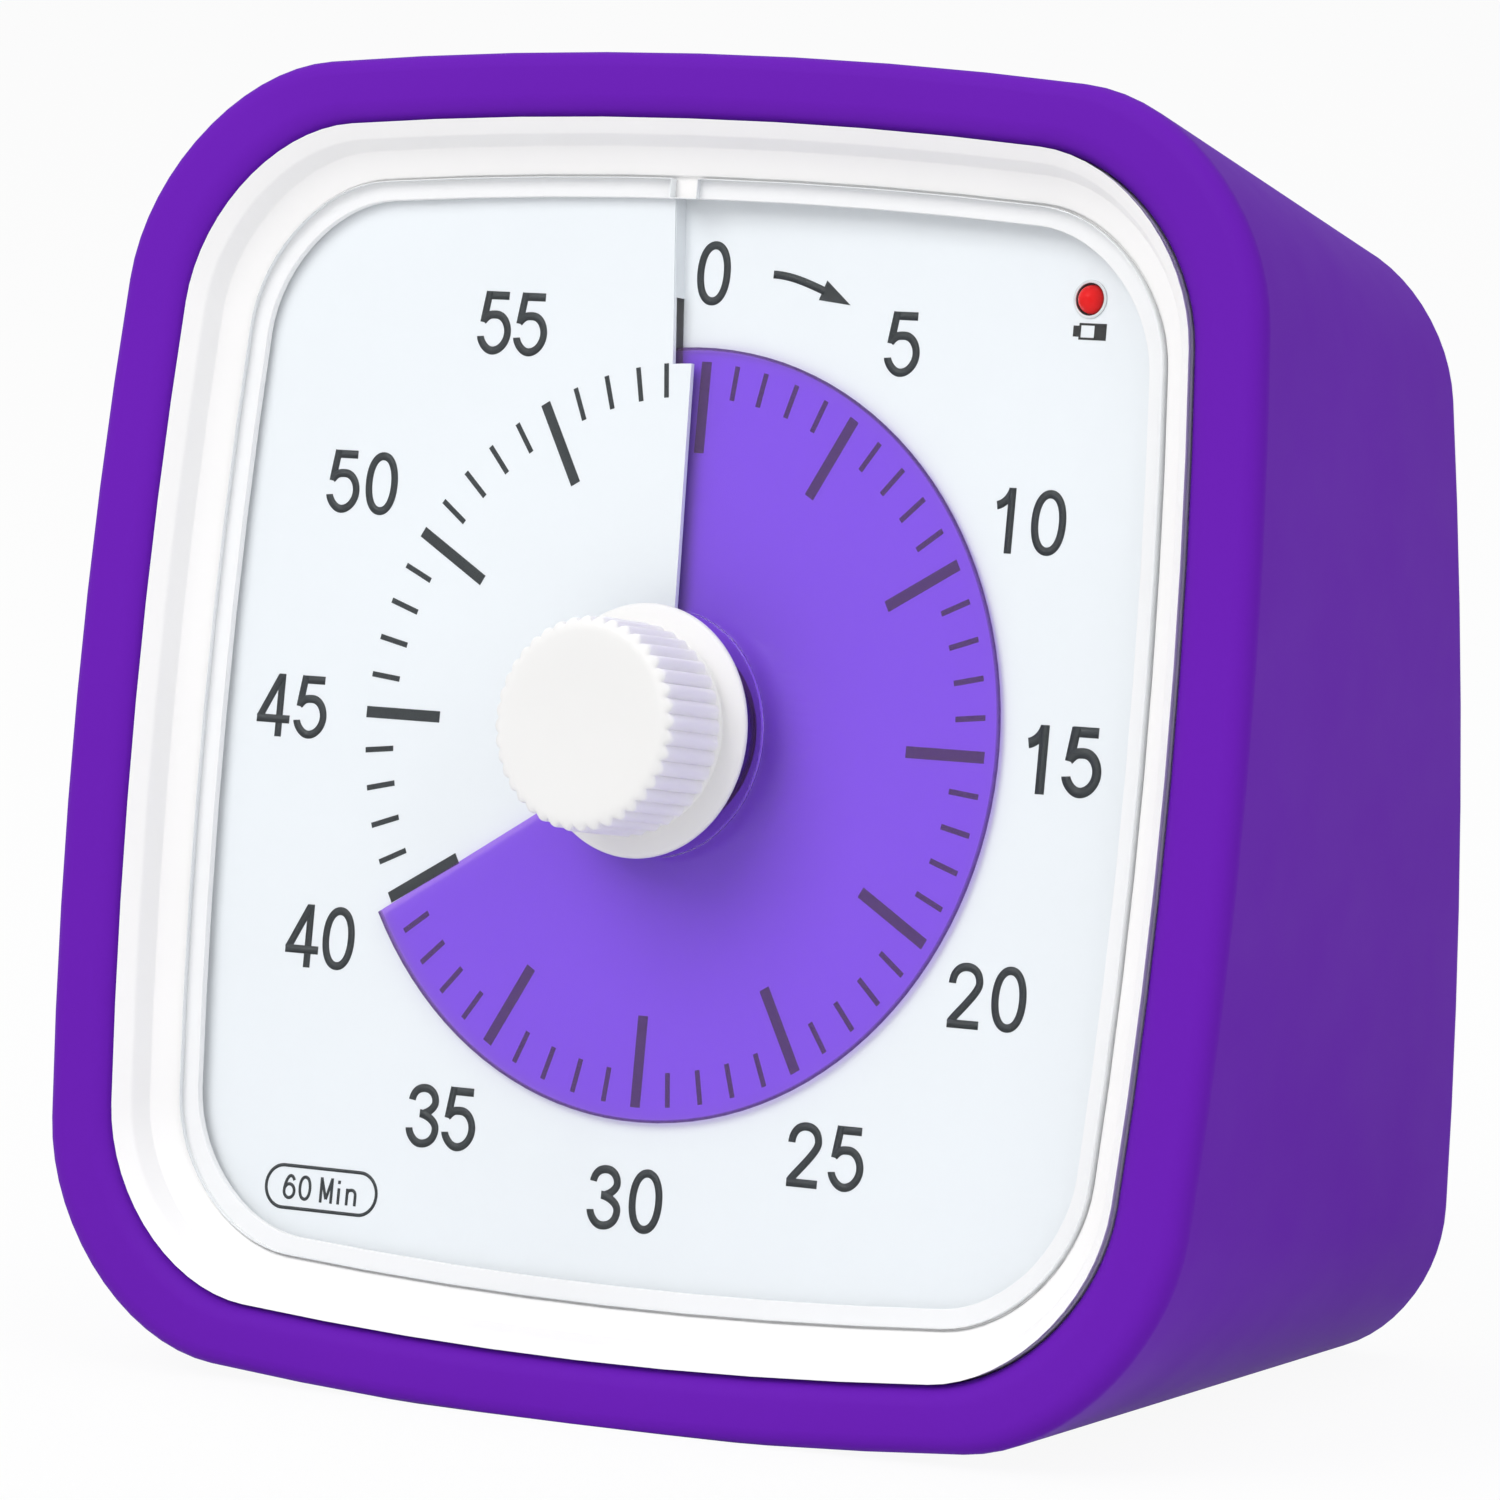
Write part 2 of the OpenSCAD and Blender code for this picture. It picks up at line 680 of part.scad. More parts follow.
module battery_opening() {
  gap = fit_gap + 0.1;
  slab([-door_half_width - gap, hinge_height, 0],
       [door_half_width + gap, door_low + door_height + gap, plate_inner]);
  translate([-door_half_width - gap, hinge_height, hinge_depth])
    rotate([0, 90, 0])
      cylinder(r = door_thickness / 2 + gap, h = 2 * (door_half_width + gap));
  slab([-door_half_width - gap, hinge_height - door_thickness / 2 - gap, 0],
       [door_half_width + gap, hinge_height, hinge_depth]);
  pin_half = door_half_width + pin_reach + fit_gap;
  translate([-pin_half, hinge_height, hinge_depth])
    rotate([0, 90, 0])
      cylinder(r = hinge_pin_radius + running_gap, h = 2 * pin_half);
}

module sound_holes() {
  hole_radius = 0.7;
  hole_ring = 4;
  rod(hole_radius, 0, plate_inner + tiny, buzzer_at);
  for (k = [0:7])
    rod(hole_radius, 0, plate_inner + tiny, beside(buzzer_at, hole_ring, k * 45));
}

module lens() color([0.85, 0.92, 0.97], 0.3) in_face() difference() {
  translate([0, 0, ledge_top])
    linear_extrude(lens_thickness)
      polygon(front_outline(recess_inset + fit_gap));
  rod(lens_hole_radius, ledge_top - tiny, lens_top + tiny);
  slab([-notch_offset - notch_width / 2, front_height / 2 - dial_offset - ledge_inset, ledge_top - tiny],
       [-notch_offset + notch_width / 2, front_height / 2, lens_top + tiny]);
}

module dial() color([0.95, 0.96, 0.98]) in_face() difference() {
  dial_sheet();
  rod(light_hole_radius, -2, 1, light_at);
}

// Round rests that carry the dial on the chassis plate
rest_reach = 31;
rest_radius = 1.5;
module chassis_plate() color([0.9, 0.9, 0.88]) difference() {
  union() {
    from_dial() skin_solid([
      for (p = [[lip_height + chassis_level, 0], [lip_height + chassis_level + chassis_thickness, 0]])
        skin(p[0], chassis_inset)
    ]);
    in_face()
      for (k = [0:3])
        let (angle = 45 + 90 * k)
          rod(rest_radius, -chassis_level - tiny,
              screw_height(angle, dial_low) - dial_thickness - thread_gap,
              rest_reach * [sin(angle), cos(angle)]);
    intersection() {
      in_back()
        for (p = post_places)
          rod(post_radius, post_start, chassis_reach, p);
      from_dial() skin_solid([
        skin(lip_height + chassis_level + 0.1, chassis_inset),
        skin(lip_height + chassis_level + 8, chassis_inset)
      ]);
    }
  }
  in_face() {
    rod(dial_hole_radius + 0.6, -10, 1);
    rod(light_hole_radius + 0.6, -10, 0, light_at);
    for (s = corner_signs)
      rod(screw_radius + thread_gap, -10, 0, case_screw_place * s);
  }
  in_back()
    for (p = post_places)
      rod(screw_radius + thread_gap, post_start - tiny, post_start + 6, p);
}

module housing_screws() color([0.75, 0.76, 0.78]) in_back()
  for (p = post_places) {
    rod(head_radius, seat_depth - head_thickness, seat_depth, p);
    rod(screw_radius, seat_depth, post_start + 5, p);
  }

module film_disc() color([0.42, 0.24, 0.88], 0.85) in_face() film_sheet();

// A bush that slides on the knob's stem: a flange under the film and a sleeve through it
hub_radius = 5;
hub_thickness = 0.3;
hub_top = screw_height(rest_angle - 360, film_low);
sleeve_top = screw_height(rest_angle, film_low) + film_thickness;
module film_hub() color([0.3, 0.18, 0.6]) in_face() difference() {
  union() {
    rod(hub_radius, hub_top - hub_thickness, hub_top);
    rod(film_hole_radius - thread_gap, hub_top, sleeve_top);
  }
  rod(stem_radius + running_gap, hub_top - 1, sleeve_top + 1);
}

module knob() color([0.95, 0.95, 0.95]) in_face() {
  cap_round = 1.2;
  groove_radius = grip_radius - rib_height;
  stem_low = hub_top - screw_pitch - 1;
  difference() {
    union() {
      rod(stem_radius, stem_low, flange_height - flange_thickness + tiny);
      rod(flange_radius, flange_height - flange_thickness, flange_height);
      translate([0, 0, flange_height - tiny])
        linear_extrude(knob_height - cap_round - flange_height)
          polygon([
            for (i = [0:4 * rib_count - 1])
              let (reach = i % 4 < 2 ? groove_radius : grip_radius, turn = i * 90 / rib_count)
                reach * [cos(turn), sin(turn)]
          ]);
      rotate_extrude()
        union() {
          square_low = flange_height - tiny;
          round_low = knob_height - cap_round - tiny;
          translate([0, square_low]) square([groove_radius, knob_height - cap_round - square_low]);
          translate([0, round_low]) square([groove_radius - cap_round, cap_round + tiny]);
          intersection() {
            translate([groove_radius - cap_round, round_low]) circle(r = cap_round);
            translate([0, round_low]) square([groove_radius, 2 * cap_round]);
          }
        }
    }
    rod(spindle_radius + thread_gap, stem_low - 1, flange_height + 3);
  }
}

module spindle() color([0.7, 0.71, 0.73]) in_face() {
  rod(spindle_radius, wiper_low, flange_height + 2.8);
  rod(spindle_radius - 0.5, case_inner_back - 0.6, wiper_low);
  rod(spindle_radius + 0.9, hour_top + running_gap, hour_top + 0.5);
}

module zero_wiper() color([0.85, 0.66, 0.3]) in_face() {
  difference() {
    union() {
      rod(spindle_radius + 1, wiper_low, wiper_low + 0.4);
      slab([-0.8, 0, wiper_low], [0.8, 6, wiper_low + 0.4]);
    }
    rod(spindle_radius + thread_gap, wiper_low - 1, wiper_low + 1);
  }
}

module case_block(low, high, inset) {
  half = movement_size / 2 - inset;
  corner = 3 - inset;
  translate([0, 0, low])
    linear_extrude(high - low)
      hull()
        for (s = corner_signs)
          translate((half - corner) * s) circle(r = corner, $fn = 32);
}
module pivot_holes() {
  for (at = [third_at, seconds_at, inter_at, rotor_at])
    rod(pivot_radius + running_gap, case_back - 1, 1, at);
}

module movement_front_case() color([0.93, 0.92, 0.86]) in_face() difference() {
  union() {
    difference() {
      case_block(split_level, chassis_back, 0);
      case_block(split_level - 1, case_floor, case_wall);
    }
    for (s = corner_signs)
      rod(screw_radius + 1, split_level, case_floor + tiny, case_screw_place * s);
    rod(dial_hole_radius, chassis_back - tiny, -chassis_level - 0.4);
  }
  rod(stem_radius + 0.3, chassis_back + 0.2, 1);
  rod(spindle_radius + running_gap, case_floor - 1, 1);
  pivot_holes();
  for (s = corner_signs)
    rod(screw_radius + 0.15, split_level - 1, 0, case_screw_place * s);
}

module movement_rear_case() color([0.93, 0.92, 0.86]) in_face() difference() {
  union() {
    difference() {
      case_block(case_back, split_level, 0);
      case_block(case_inner_back, split_level + 1, case_wall);
    }
    for (s = corner_signs)
      rod(screw_radius + 1, case_inner_back - tiny, split_level, case_screw_place * s);
  }
  pivot_holes();
  rod(spindle_radius - 0.5 + running_gap, case_back - 1, case_inner_back + 1);
  for (s = corner_signs)
    rod(screw_radius + 0.15, case_back - 1, split_level + 1, case_screw_place * s);
  slab([lead_exit.x - 2, lead_exit.y - 1.2, case_back - 1],
       [lead_exit.x + 2, lead_exit.y + 1.2, case_inner_back + tiny]);
}

module movement_screws() color([0.75, 0.76, 0.78]) in_face()
  for (s = corner_signs) {
    rod(screw_radius, case_back, -chassis_level - 0.1, case_screw_place * s);
    rod(head_radius, case_back - head_thickness, case_back, case_screw_place * s);
  }

module hour_wheel() color([0.95, 0.94, 0.9]) in_face() difference() {
  union() {
    gear(hour_teeth, hour_module, 0, hour_low, hour_top, hour_at);
    rod(spindle_radius + 0.8, hour_low - 0.8, hour_low + tiny);
  }
  rod(spindle_radius + running_gap, hour_low - 2, hour_top + 1);
}

module clutch_spring() color([0.8, 0.68, 0.4]) in_face() difference() {
  rod(spindle_radius + 1.1, hour_low - 1.15, hour_low - 0.85);
  rod(spindle_radius + thread_gap, hour_low - 2, hour_low);
}

module third_wheel() color([0.95, 0.94, 0.9]) in_face() {
  pinion_high = hour_top + 0.4;
  gear(third_teeth, third_module, 0, third_low, third_top, third_at);
  gear(pinion_teeth, hour_module, third_pinion_phase, third_top, pinion_high, third_at);
  arbor(third_at, third_low, pinion_high);
}

module seconds_wheel() color([0.95, 0.94, 0.9]) in_face() {
  pinion_high = third_top + 0.3;
  gear(seconds_teeth, seconds_module, 0, seconds_low, seconds_top, seconds_at);
  gear(pinion_teeth, third_module, seconds_pinion_phase, seconds_top, pinion_high, seconds_at);
  arbor(seconds_at, seconds_low, pinion_high);
}

module intermediate_wheel() color([0.95, 0.94, 0.9]) in_face() {
  pinion_high = seconds_top + 0.3;
  gear(inter_teeth, inter_module, 0, inter_low, inter_top, inter_at);
  gear(pinion_teeth, seconds_module, inter_pinion_phase, inter_top, pinion_high, inter_at);
  arbor(inter_at, inter_low, pinion_high);
}

module rotor_pinion() color([0.95, 0.94, 0.9]) in_face() {
  low = inter_low - 0.2;
  high = inter_top + 0.2;
  gear(pinion_teeth, inter_module, rotor_pinion_phase, low, high, rotor_at);
  rod(arbor_radius, high, magnet_low, rotor_at);
  rod(pivot_radius, case_inner_back - pivot_reach, low, rotor_at);
  rod(pivot_radius, magnet_low, case_floor + pivot_reach, rotor_at);
}

module rotor_magnet() color([0.35, 0.35, 0.37]) in_face() difference() {
  rod(magnet_radius, magnet_low, magnet_top, rotor_at);
  rod(pivot_radius + thread_gap, magnet_low - 1, magnet_top + 1, rotor_at);
}

coil_y = -13;
coil_half = 9;
stator_half_width = 4;
module stator() color([0.6, 0.61, 0.63]) in_face() {
  leg_x = coil_half + 3.6;
  bar_y = -5;
  bar_half = 1.5;
  difference() {
    union() {
      slab([-leg_x - bar_half, coil_y - bar_half, stator_low],
           [-leg_x + bar_half, bar_y + bar_half, stator_top]);
      slab([-leg_x, bar_y - bar_half, stator_low],
           [rotor_at.x, bar_y + bar_half, stator_top]);
      slab([rotor_at.x - stator_half_width, -stator_half_width + rotor_at.y, stator_low],
           [rotor_at.x + stator_half_width, stator_half_width + rotor_at.y, stator_top]);
      slab([leg_x - bar_half, coil_y - bar_half, stator_low],
           [leg_x + bar_half, rotor_at.y, stator_top]);
    }
    rod(magnet_radius + 0.4, stator_low - 1, stator_top + 1, rotor_at);
  }
}

module coil_core() color([0.55, 0.56, 0.58]) in_face()
  slab([-coil_half - 4.4, coil_y - 1.2, stator_low - 0.8],
       [coil_half + 4.4, coil_y + 1.2, stator_low]);

module along_coil(radius, from, to) {
  translate([from, coil_y, stator_low - 0.4]) rotate([0, 90, 0]) cylinder(r = radius, h = to - from);
}
module coil_bobbin() color([0.15, 0.35, 0.2]) in_face() difference() {
  union() {
    along_coil(1.7, -coil_half, coil_half);
    for (side = [-1, 1])
      along_coil(2.7, side * (coil_half - 0.4) - 0.4, side * (coil_half - 0.4) + 0.4);
  }
  slab([-coil_half - 1, coil_y - 1.25, stator_low - 0.85],
       [coil_half + 1, coil_y + 1.25, stator_low + 0.05]);
}
module coil_winding() color([0.75, 0.38, 0.16]) in_face() difference() {
  along_coil(2.5, -coil_half + 0.85, coil_half - 0.85);
  along_coil(1.72, -coil_half, coil_half);
}

board_edge = movement_size / 2 - case_wall - fit_gap;
board_reach = 14.5;
board_upper = -3.4;
lead_tab = 3;
module movement_board() color([0.1, 0.35, 0.2]) in_face() {
  slab([-board_reach, -board_edge, board_low], [board_reach, board_upper, board_top]);
  slab([lead_exit.x - lead_tab, board_upper - tiny, board_low],
       [lead_exit.x + lead_tab, lead_exit.y + lead_tab, board_top]);
}
module quartz_crystal() color([0.8, 0.81, 0.83]) in_face()
  translate([-14, -17.6, board_top + 1.05]) rotate([0, 90, 0]) cylinder(r = 1, h = 6);
module timer_chip() color([0.08, 0.08, 0.08]) in_face()
  slab([9.6, -12, board_top], [13.6, -8, board_top + 1]);

module alarm_board() color([0.1, 0.35, 0.2]) in_back() difference() {
  slab([-board_half_width, board_bottom, board_depth],
       [board_half_width, board_high, board_front]);
  for (side = [-1, 1])
    rod(screw_radius + 0.2, board_depth - 1, board_depth + 3, [side * board_post.x, board_post.y]);
}
board_front = board_depth + board_thickness;
module alarm_chip() color([0.08, 0.08, 0.08]) in_back()
  slab([-8, board_high - 15, board_front], [-2, board_high - 10, board_front + 1.6]);
module capacitor() color([0.12, 0.14, 0.3]) in_back()
  rod(2.5, board_front, board_front + 5.5, [8, board_high - 6]);
module board_screws() color([0.75, 0.76, 0.78]) in_back()
  for (side = [-1, 1]) {
    rod(head_radius, board_front, board_front + head_thickness, [side * board_post.x, board_post.y]);
    rod(screw_radius - 0.1 - thread_gap, plate_inner + 1, board_front, [side * board_post.x, board_post.y]);
  }
module buzzer() color([0.1, 0.1, 0.1]) in_back() difference() {
  rod(buzzer_radius, plate_inner + 0.6, board_depth, buzzer_at);
  rod(1, plate_inner, plate_inner + 2.6, buzzer_at);
}

module volume_switch_body() color([0.7, 0.71, 0.73]) in_back() difference() {
  slab([switch_at.x - switch_travel - 3, switch_at.y - 2.6, plate_inner + 1.6],
       [switch_at.x + 3, switch_at.y + 2.6, board_depth]);
  slab([switch_at.x - switch_travel - slider_half - fit_gap, switch_at.y - 1.2 - running_gap, plate_inner],
       [switch_at.x + slider_half + fit_gap, switch_at.y + 1.2 + running_gap, board_depth - 1]);
}
module volume_switch_knob() color([0.15, 0.15, 0.16]) in_back()
  slab([switch_at.x - slider_half, switch_at.y - 1.2, 1.2],
       [switch_at.x + slider_half, switch_at.y + 1.2, board_depth - 1.1]);

led_radius = 0.85;
led_board_low = chassis_back - 0.8;
led_round_from = screw_height(45, dial_low) - 0.25;
module warning_led() color([0.85, 0.05, 0.04]) in_face() {
  rod(light_hole_radius + 0.3, chassis_back, -chassis_level - 0.4, light_at);
  rod(led_radius, -chassis_level - 0.4, led_round_from, light_at);
  translate([light_at.x, light_at.y, led_round_from]) sphere(r = led_radius);
}
module led_board() color([0.1, 0.35, 0.2]) in_face()
  slab([light_at.x - 2.2, light_at.y - 3.4, led_board_low],
       [light_at.x + 2.2, light_at.y + 2.2, chassis_back]);

module battery_contact() color([0.8, 0.81, 0.83]) in_back() {
  inner = contact_outer - contact_thickness;
  slab([inner, cell_height - contact_half, cell_depth - contact_half],
       [contact_outer, cell_height + contact_half, cell_depth + contact_half]);
  slab([inner, cell_height - tab_half, cell_depth], [contact_outer, cell_height + tab_half, tab_front]);
}
spring_turns = 3;
spring_wire = 0.3;
spring_steps = 14;
module battery_spring() color([0.8, 0.81, 0.83]) in_back() {
  inner = contact_thickness - contact_outer;
  coil_start = inner + spring_wire - contact_gap;
  coil_end = cell_right - cell_length - spring_wire - contact_gap;
  slab([-contact_outer, cell_height - contact_half, cell_depth - contact_half],
       [inner, cell_height + contact_half, cell_depth + contact_half]);
  slab([-contact_outer, cell_height - tab_half, cell_depth], [inner, cell_height + tab_half, tab_front]);
  lead([
    for (i = [0:spring_turns * spring_steps])
      let (
        share = i / (spring_turns * spring_steps),
        reach = 4 - 1.4 * share,
        turn = 360 * spring_turns * share
      )
        [
          coil_start + (coil_end - coil_start) * share,
          cell_height + reach * cos(turn),
          cell_depth + reach * sin(turn)
        ]
  ], spring_wire);
}
module aa_cell() color([0.2, 0.22, 0.25]) in_back()
  translate([cell_right, cell_height, cell_depth]) rotate([0, -90, 0]) {
    translate([0, 0, 1]) cylinder(d = cell_diameter, h = cell_length - 1);
    cylinder(d = 5.5, h = 1 + tiny);
  }

module battery_door() color([0.95, 0.94, 0.94]) in_back() {
  slab([-door_half_width, hinge_height, plate_outer],
       [door_half_width, door_low + door_height, plate_outer + door_thickness]);
  translate([-door_half_width, hinge_height, hinge_depth]) rotate([0, 90, 0])
    cylinder(r = door_thickness / 2, h = 2 * door_half_width);
  translate([-door_half_width - pin_reach, hinge_height, hinge_depth]) rotate([0, 90, 0])
    cylinder(r = hinge_pin_radius, h = 2 * (door_half_width + pin_reach));
  for (k = [0:2])
    slab([-6, door_low + door_height - 2 - 1.6 * k - 0.8, plate_outer - 0.4],
         [6, door_low + door_height - 2 - 1.6 * k, plate_outer + tiny]);
}

module battery_leads() color([0.8, 0.1, 0.1]) in_back()
  for (side = [-1, 1])
    lead([
      [side * (contact_outer - contact_thickness - lead_radius - tiny), cell_height, tab_front - 0.5],
      [side * (box_right - 1.6), cell_height + 3, tab_front + 0.2],
      [side * (box_right - 1.6), board_bottom, tab_front - 1],
      [side * (board_half_width + 0.4), board_bottom + 6, board_front + 4],
      [side * (board_half_width - 6), board_bottom + 8, board_front + lead_radius]
    ], lead_radius);

// Both leads start on a board in the face frame and end on the alarm board
module led_leads() color([0.85, 0.85, 0.85]) in_back()
  for (side = [-1, 1])
    lead([
      to_back([light_at.x + side * lead_spread, light_at.y - 2.4, led_board_low - 0.05]),
      to_back([light_at.x + side * lead_spread, light_at.y - 2.8, led_board_low - 5]),
      [light_at.x - 4 + side * lead_spread, board_high - 1, board_front + 3],
      [light_at.x - 5 + side * lead_spread, board_high - 2.4, board_front + lead_radius / 2]
    ], lead_radius);

module movement_leads() color([0.85, 0.85, 0.2]) in_back()
  for (side = [-1, 1])
    lead([
      to_back([lead_exit.x + side * 0.7, lead_exit.y, board_low]),
      to_back([lead_exit.x + side * 0.7, lead_exit.y, case_back - 3]),
      [lead_exit.x + side * 0.7, board_bottom + 5, board_front + 3],
      [lead_exit.x + side * 0.7, board_bottom + 6, board_front + lead_radius / 3]
    ], lead_radius);

silicone_cover();
front_housing();
rear_housing();
lens();
dial();
chassis_plate();
housing_screws();
film_disc();
film_hub();
knob();
spindle();
zero_wiper();
movement_front_case();
movement_rear_case();
movement_screws();
hour_wheel();
clutch_spring();
third_wheel();
seconds_wheel();
intermediate_wheel();
rotor_pinion();
rotor_magnet();
stator();
coil_core();
coil_bobbin();
coil_winding();
movement_board();
quartz_crystal();
timer_chip();
alarm_board();
alarm_chip();
capacitor();
board_screws();
buzzer();
volume_switch_body();
volume_switch_knob();
warning_led();
led_board();
battery_contact();
battery_spring();
aa_cell();
battery_door();
battery_leads();
led_leads();
movement_leads();
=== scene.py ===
import json
import math
import bpy
from mathutils import Euler, Matrix, Vector


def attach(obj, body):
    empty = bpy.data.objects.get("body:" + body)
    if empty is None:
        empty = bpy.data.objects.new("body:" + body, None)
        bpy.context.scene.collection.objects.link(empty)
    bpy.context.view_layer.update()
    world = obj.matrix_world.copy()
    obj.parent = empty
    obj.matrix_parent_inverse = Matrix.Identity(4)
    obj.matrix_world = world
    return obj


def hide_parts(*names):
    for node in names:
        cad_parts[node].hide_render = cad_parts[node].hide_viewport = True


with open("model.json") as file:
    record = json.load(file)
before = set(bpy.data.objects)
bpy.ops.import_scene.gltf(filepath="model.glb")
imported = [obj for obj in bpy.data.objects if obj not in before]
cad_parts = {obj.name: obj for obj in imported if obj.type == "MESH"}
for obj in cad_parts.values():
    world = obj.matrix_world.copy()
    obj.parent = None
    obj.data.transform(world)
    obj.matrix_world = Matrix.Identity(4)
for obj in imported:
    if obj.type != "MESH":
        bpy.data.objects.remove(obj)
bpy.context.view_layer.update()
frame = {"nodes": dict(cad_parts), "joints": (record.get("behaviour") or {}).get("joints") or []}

mm = 0.001
bpy.ops.object.select_all(action="DESELECT")
print("frame loaded")


# where the face is

knobJoint = next(joint for joint in frame["joints"] if joint["name"] == "knob_turn")
dialCentre = Vector(knobJoint["pos_m"])
outOfFace = -Vector(knobJoint["axis"]).normalized()
upFace = Vector((1, 0, 0)).cross(-outOfFace).normalized()
upFace = -upFace if upFace.z < 0 else upFace
faceLean = math.atan2(upFace.y, upFace.z)
faceTurn = Euler((math.pi / 2 - faceLean, 0, 0))
faceMatrix = Matrix.Translation(dialCentre) @ faceTurn.to_matrix().to_4x4()

dialSheet = {
    "lowest": -0.7,       # height of the dial face at the 0 mark, mm
    "rise": 1.0,          # rise in one turn, mm
    "slit": -5.0,         # right lip of the slit, degrees
}
eyeFromDial = Vector((320.35, -13.6, 469.6))   # the camera in the face frame, mm


def turnOf(x, y):
    turn = math.degrees(math.atan2(x, y))
    return turn if turn >= dialSheet["slit"] else turn + 360


def dialHeight(x, y):
    return dialSheet["lowest"] + dialSheet["rise"] * turnOf(x, y) / 360


def onDial(x, y):
    # where a mark seen at x, y on the flat dial plane lies on the dial sheet, mm
    markX, markY = x, y
    for step in range(4):      # each round comes nearer
        height = dialHeight(markX, markY)
        markX = x + (eyeFromDial.x - x) * height / eyeFromDial.z
        markY = y + (eyeFromDial.y - y) * height / eyeFromDial.z
    return markX, markY


# small helpers for making pieces

def only(piece):
    if bpy.context.object and bpy.context.object.mode != "OBJECT":
        bpy.ops.object.mode_set(mode="OBJECT")
    bpy.ops.object.select_all(action="DESELECT")
    piece.select_set(True)
    bpy.context.view_layer.objects.active = piece
    return piece


def settle(piece):
    # a finished piece stands at the origin with its place in its mesh
    only(piece)
    bpy.ops.object.transform_apply(location=True, rotation=True, scale=True)
    return piece


def joinAll(pieces, name):
    bpy.ops.object.select_all(action="DESELECT")
    for piece in pieces:
        piece.select_set(True)
    bpy.context.view_layer.objects.active = pieces[0]
    bpy.ops.object.join()
    joined = bpy.context.object
    joined.name = name
    return joined


def applyAll(piece):
    only(piece)
    for modifier in list(piece.modifiers):
        bpy.ops.object.modifier_apply(modifier=modifier.name)
    return piece


def softEdges(piece, width, segments=2, sharpFrom=30):
    bevel = piece.modifiers.new("edgeRound", "BEVEL")
    bevel.width = width * mm
    bevel.segments = segments
    bevel.limit_method = "ANGLE"
    bevel.angle_limit = math.radians(sharpFrom)
    return applyAll(piece)


def smooth(piece, angle):
    only(piece)
    bpy.ops.object.shade_smooth_by_angle(angle=math.radians(angle))
    weigh = piece.modifiers.new("faceWeights", "WEIGHTED_NORMAL")
    weigh.keep_sharp = True
    return applyAll(piece)


def copyNode(node, name):
    # a merged copy of a solid, ready to be finished by hand
    source = frame["nodes"][node]
    piece = bpy.data.objects.new(name, source.data.copy())
    bpy.context.scene.collection.objects.link(piece)
    piece.data.materials.clear()
    only(piece)
    bpy.ops.object.mode_set(mode="EDIT")
    bpy.ops.mesh.select_all(action="SELECT")
    bpy.ops.mesh.remove_doubles(threshold=0.0005 * mm)
    bpy.ops.mesh.tris_convert_to_quads(face_threshold=math.radians(1), shape_threshold=math.radians(180))
    bpy.ops.object.mode_set(mode="OBJECT")
    return piece


def copyOf(piece):
    twin = piece.copy()
    twin.data = piece.data.copy()
    bpy.context.scene.collection.objects.link(twin)
    return twin


def toFace(piece):
    # from millimetres in the face frame to its place in the timer
    piece.matrix_world = faceMatrix @ Matrix.Scale(mm, 4)
    return settle(piece)


def finishPiece(piece, material, body, slot, *nodes):
    settle(piece)
    piece.data.materials.clear()
    piece.data.materials.append(material)
    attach(piece, body)
    if nodes:
        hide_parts(*nodes)
    return piece


# materials

def newMaterial(name):
    material = bpy.data.materials.new(name)
    material.use_nodes = True
    nodes = material.node_tree.nodes
    shader = nodes["Principled BSDF"]
    return material, nodes, material.node_tree.links, shader


def objectPoints(nodes, links, onFace=False):
    points = nodes.new("ShaderNodeTexCoord").outputs["Object"]
    if not onFace:
        return points
    mapping = nodes.new("ShaderNodeMapping")
    mapping.vector_type = "TEXTURE"
    mapping.inputs["Location"].default_value = dialCentre
    mapping.inputs["Rotation"].default_value = faceTurn
    links.new(points, mapping.inputs["Vector"])
    return mapping.outputs["Vector"]


def noise(nodes, links, points, scale, detail=2, rough=0.5):
    node = nodes.new("ShaderNodeTexNoise")
    node.inputs["Scale"].default_value = scale
    node.inputs["Detail"].default_value = detail
    node.inputs["Roughness"].default_value = rough
    links.new(points, node.inputs["Vector"])
    return node.outputs["Fac"]


def ramp(nodes, links, value, stops):
    node = nodes.new("ShaderNodeValToRGB")
    while len(node.color_ramp.elements) < len(stops):
        node.color_ramp.elements.new(0.5)
    for element, (place, colour) in zip(node.color_ramp.elements, stops):
        element.position = place
        element.color = colour if len(colour) == 4 else (*colour, 1)
    links.new(value, node.inputs["Fac"])
    return node.outputs["Color"]


def spread(nodes, links, value, low, high):
    node = nodes.new("ShaderNodeMapRange")
    node.inputs["To Min"].default_value = low
    node.inputs["To Max"].default_value = high
    links.new(value, node.inputs["Value"])
    return node.outputs["Result"]


def bumpInto(nodes, links, shader, height, strength, distance):
    node = nodes.new("ShaderNodeBump")
    node.inputs["Strength"].default_value = strength
    node.inputs["Distance"].default_value = distance * mm
    links.new(height, node.inputs["Height"])
    links.new(node.outputs["Normal"], shader.inputs["Normal"])


def anyRay(nodes, links, *kinds):
    # 1 for a ray of one of these kinds, otherwise 0
    rays = nodes.new("ShaderNodeLightPath")
    found = rays.outputs[kinds[0]]
    for kind in kinds[1:]:
        either = nodes.new("ShaderNodeMath")
        either.operation = "MAXIMUM"
        links.new(found, either.inputs[0])
        links.new(rays.outputs[kind], either.inputs[1])
        found = either.outputs["Value"]
    return found


def mixInto(nodes, links, first, second, output):
    # two shaders mixed into an output; the mix node is returned for its share
    mix = nodes.new("ShaderNodeMixShader")
    links.new(first, mix.inputs[1])
    links.new(second, mix.inputs[2])
    links.new(mix.outputs["Shader"], nodes[output].inputs["Surface"])
    return mix


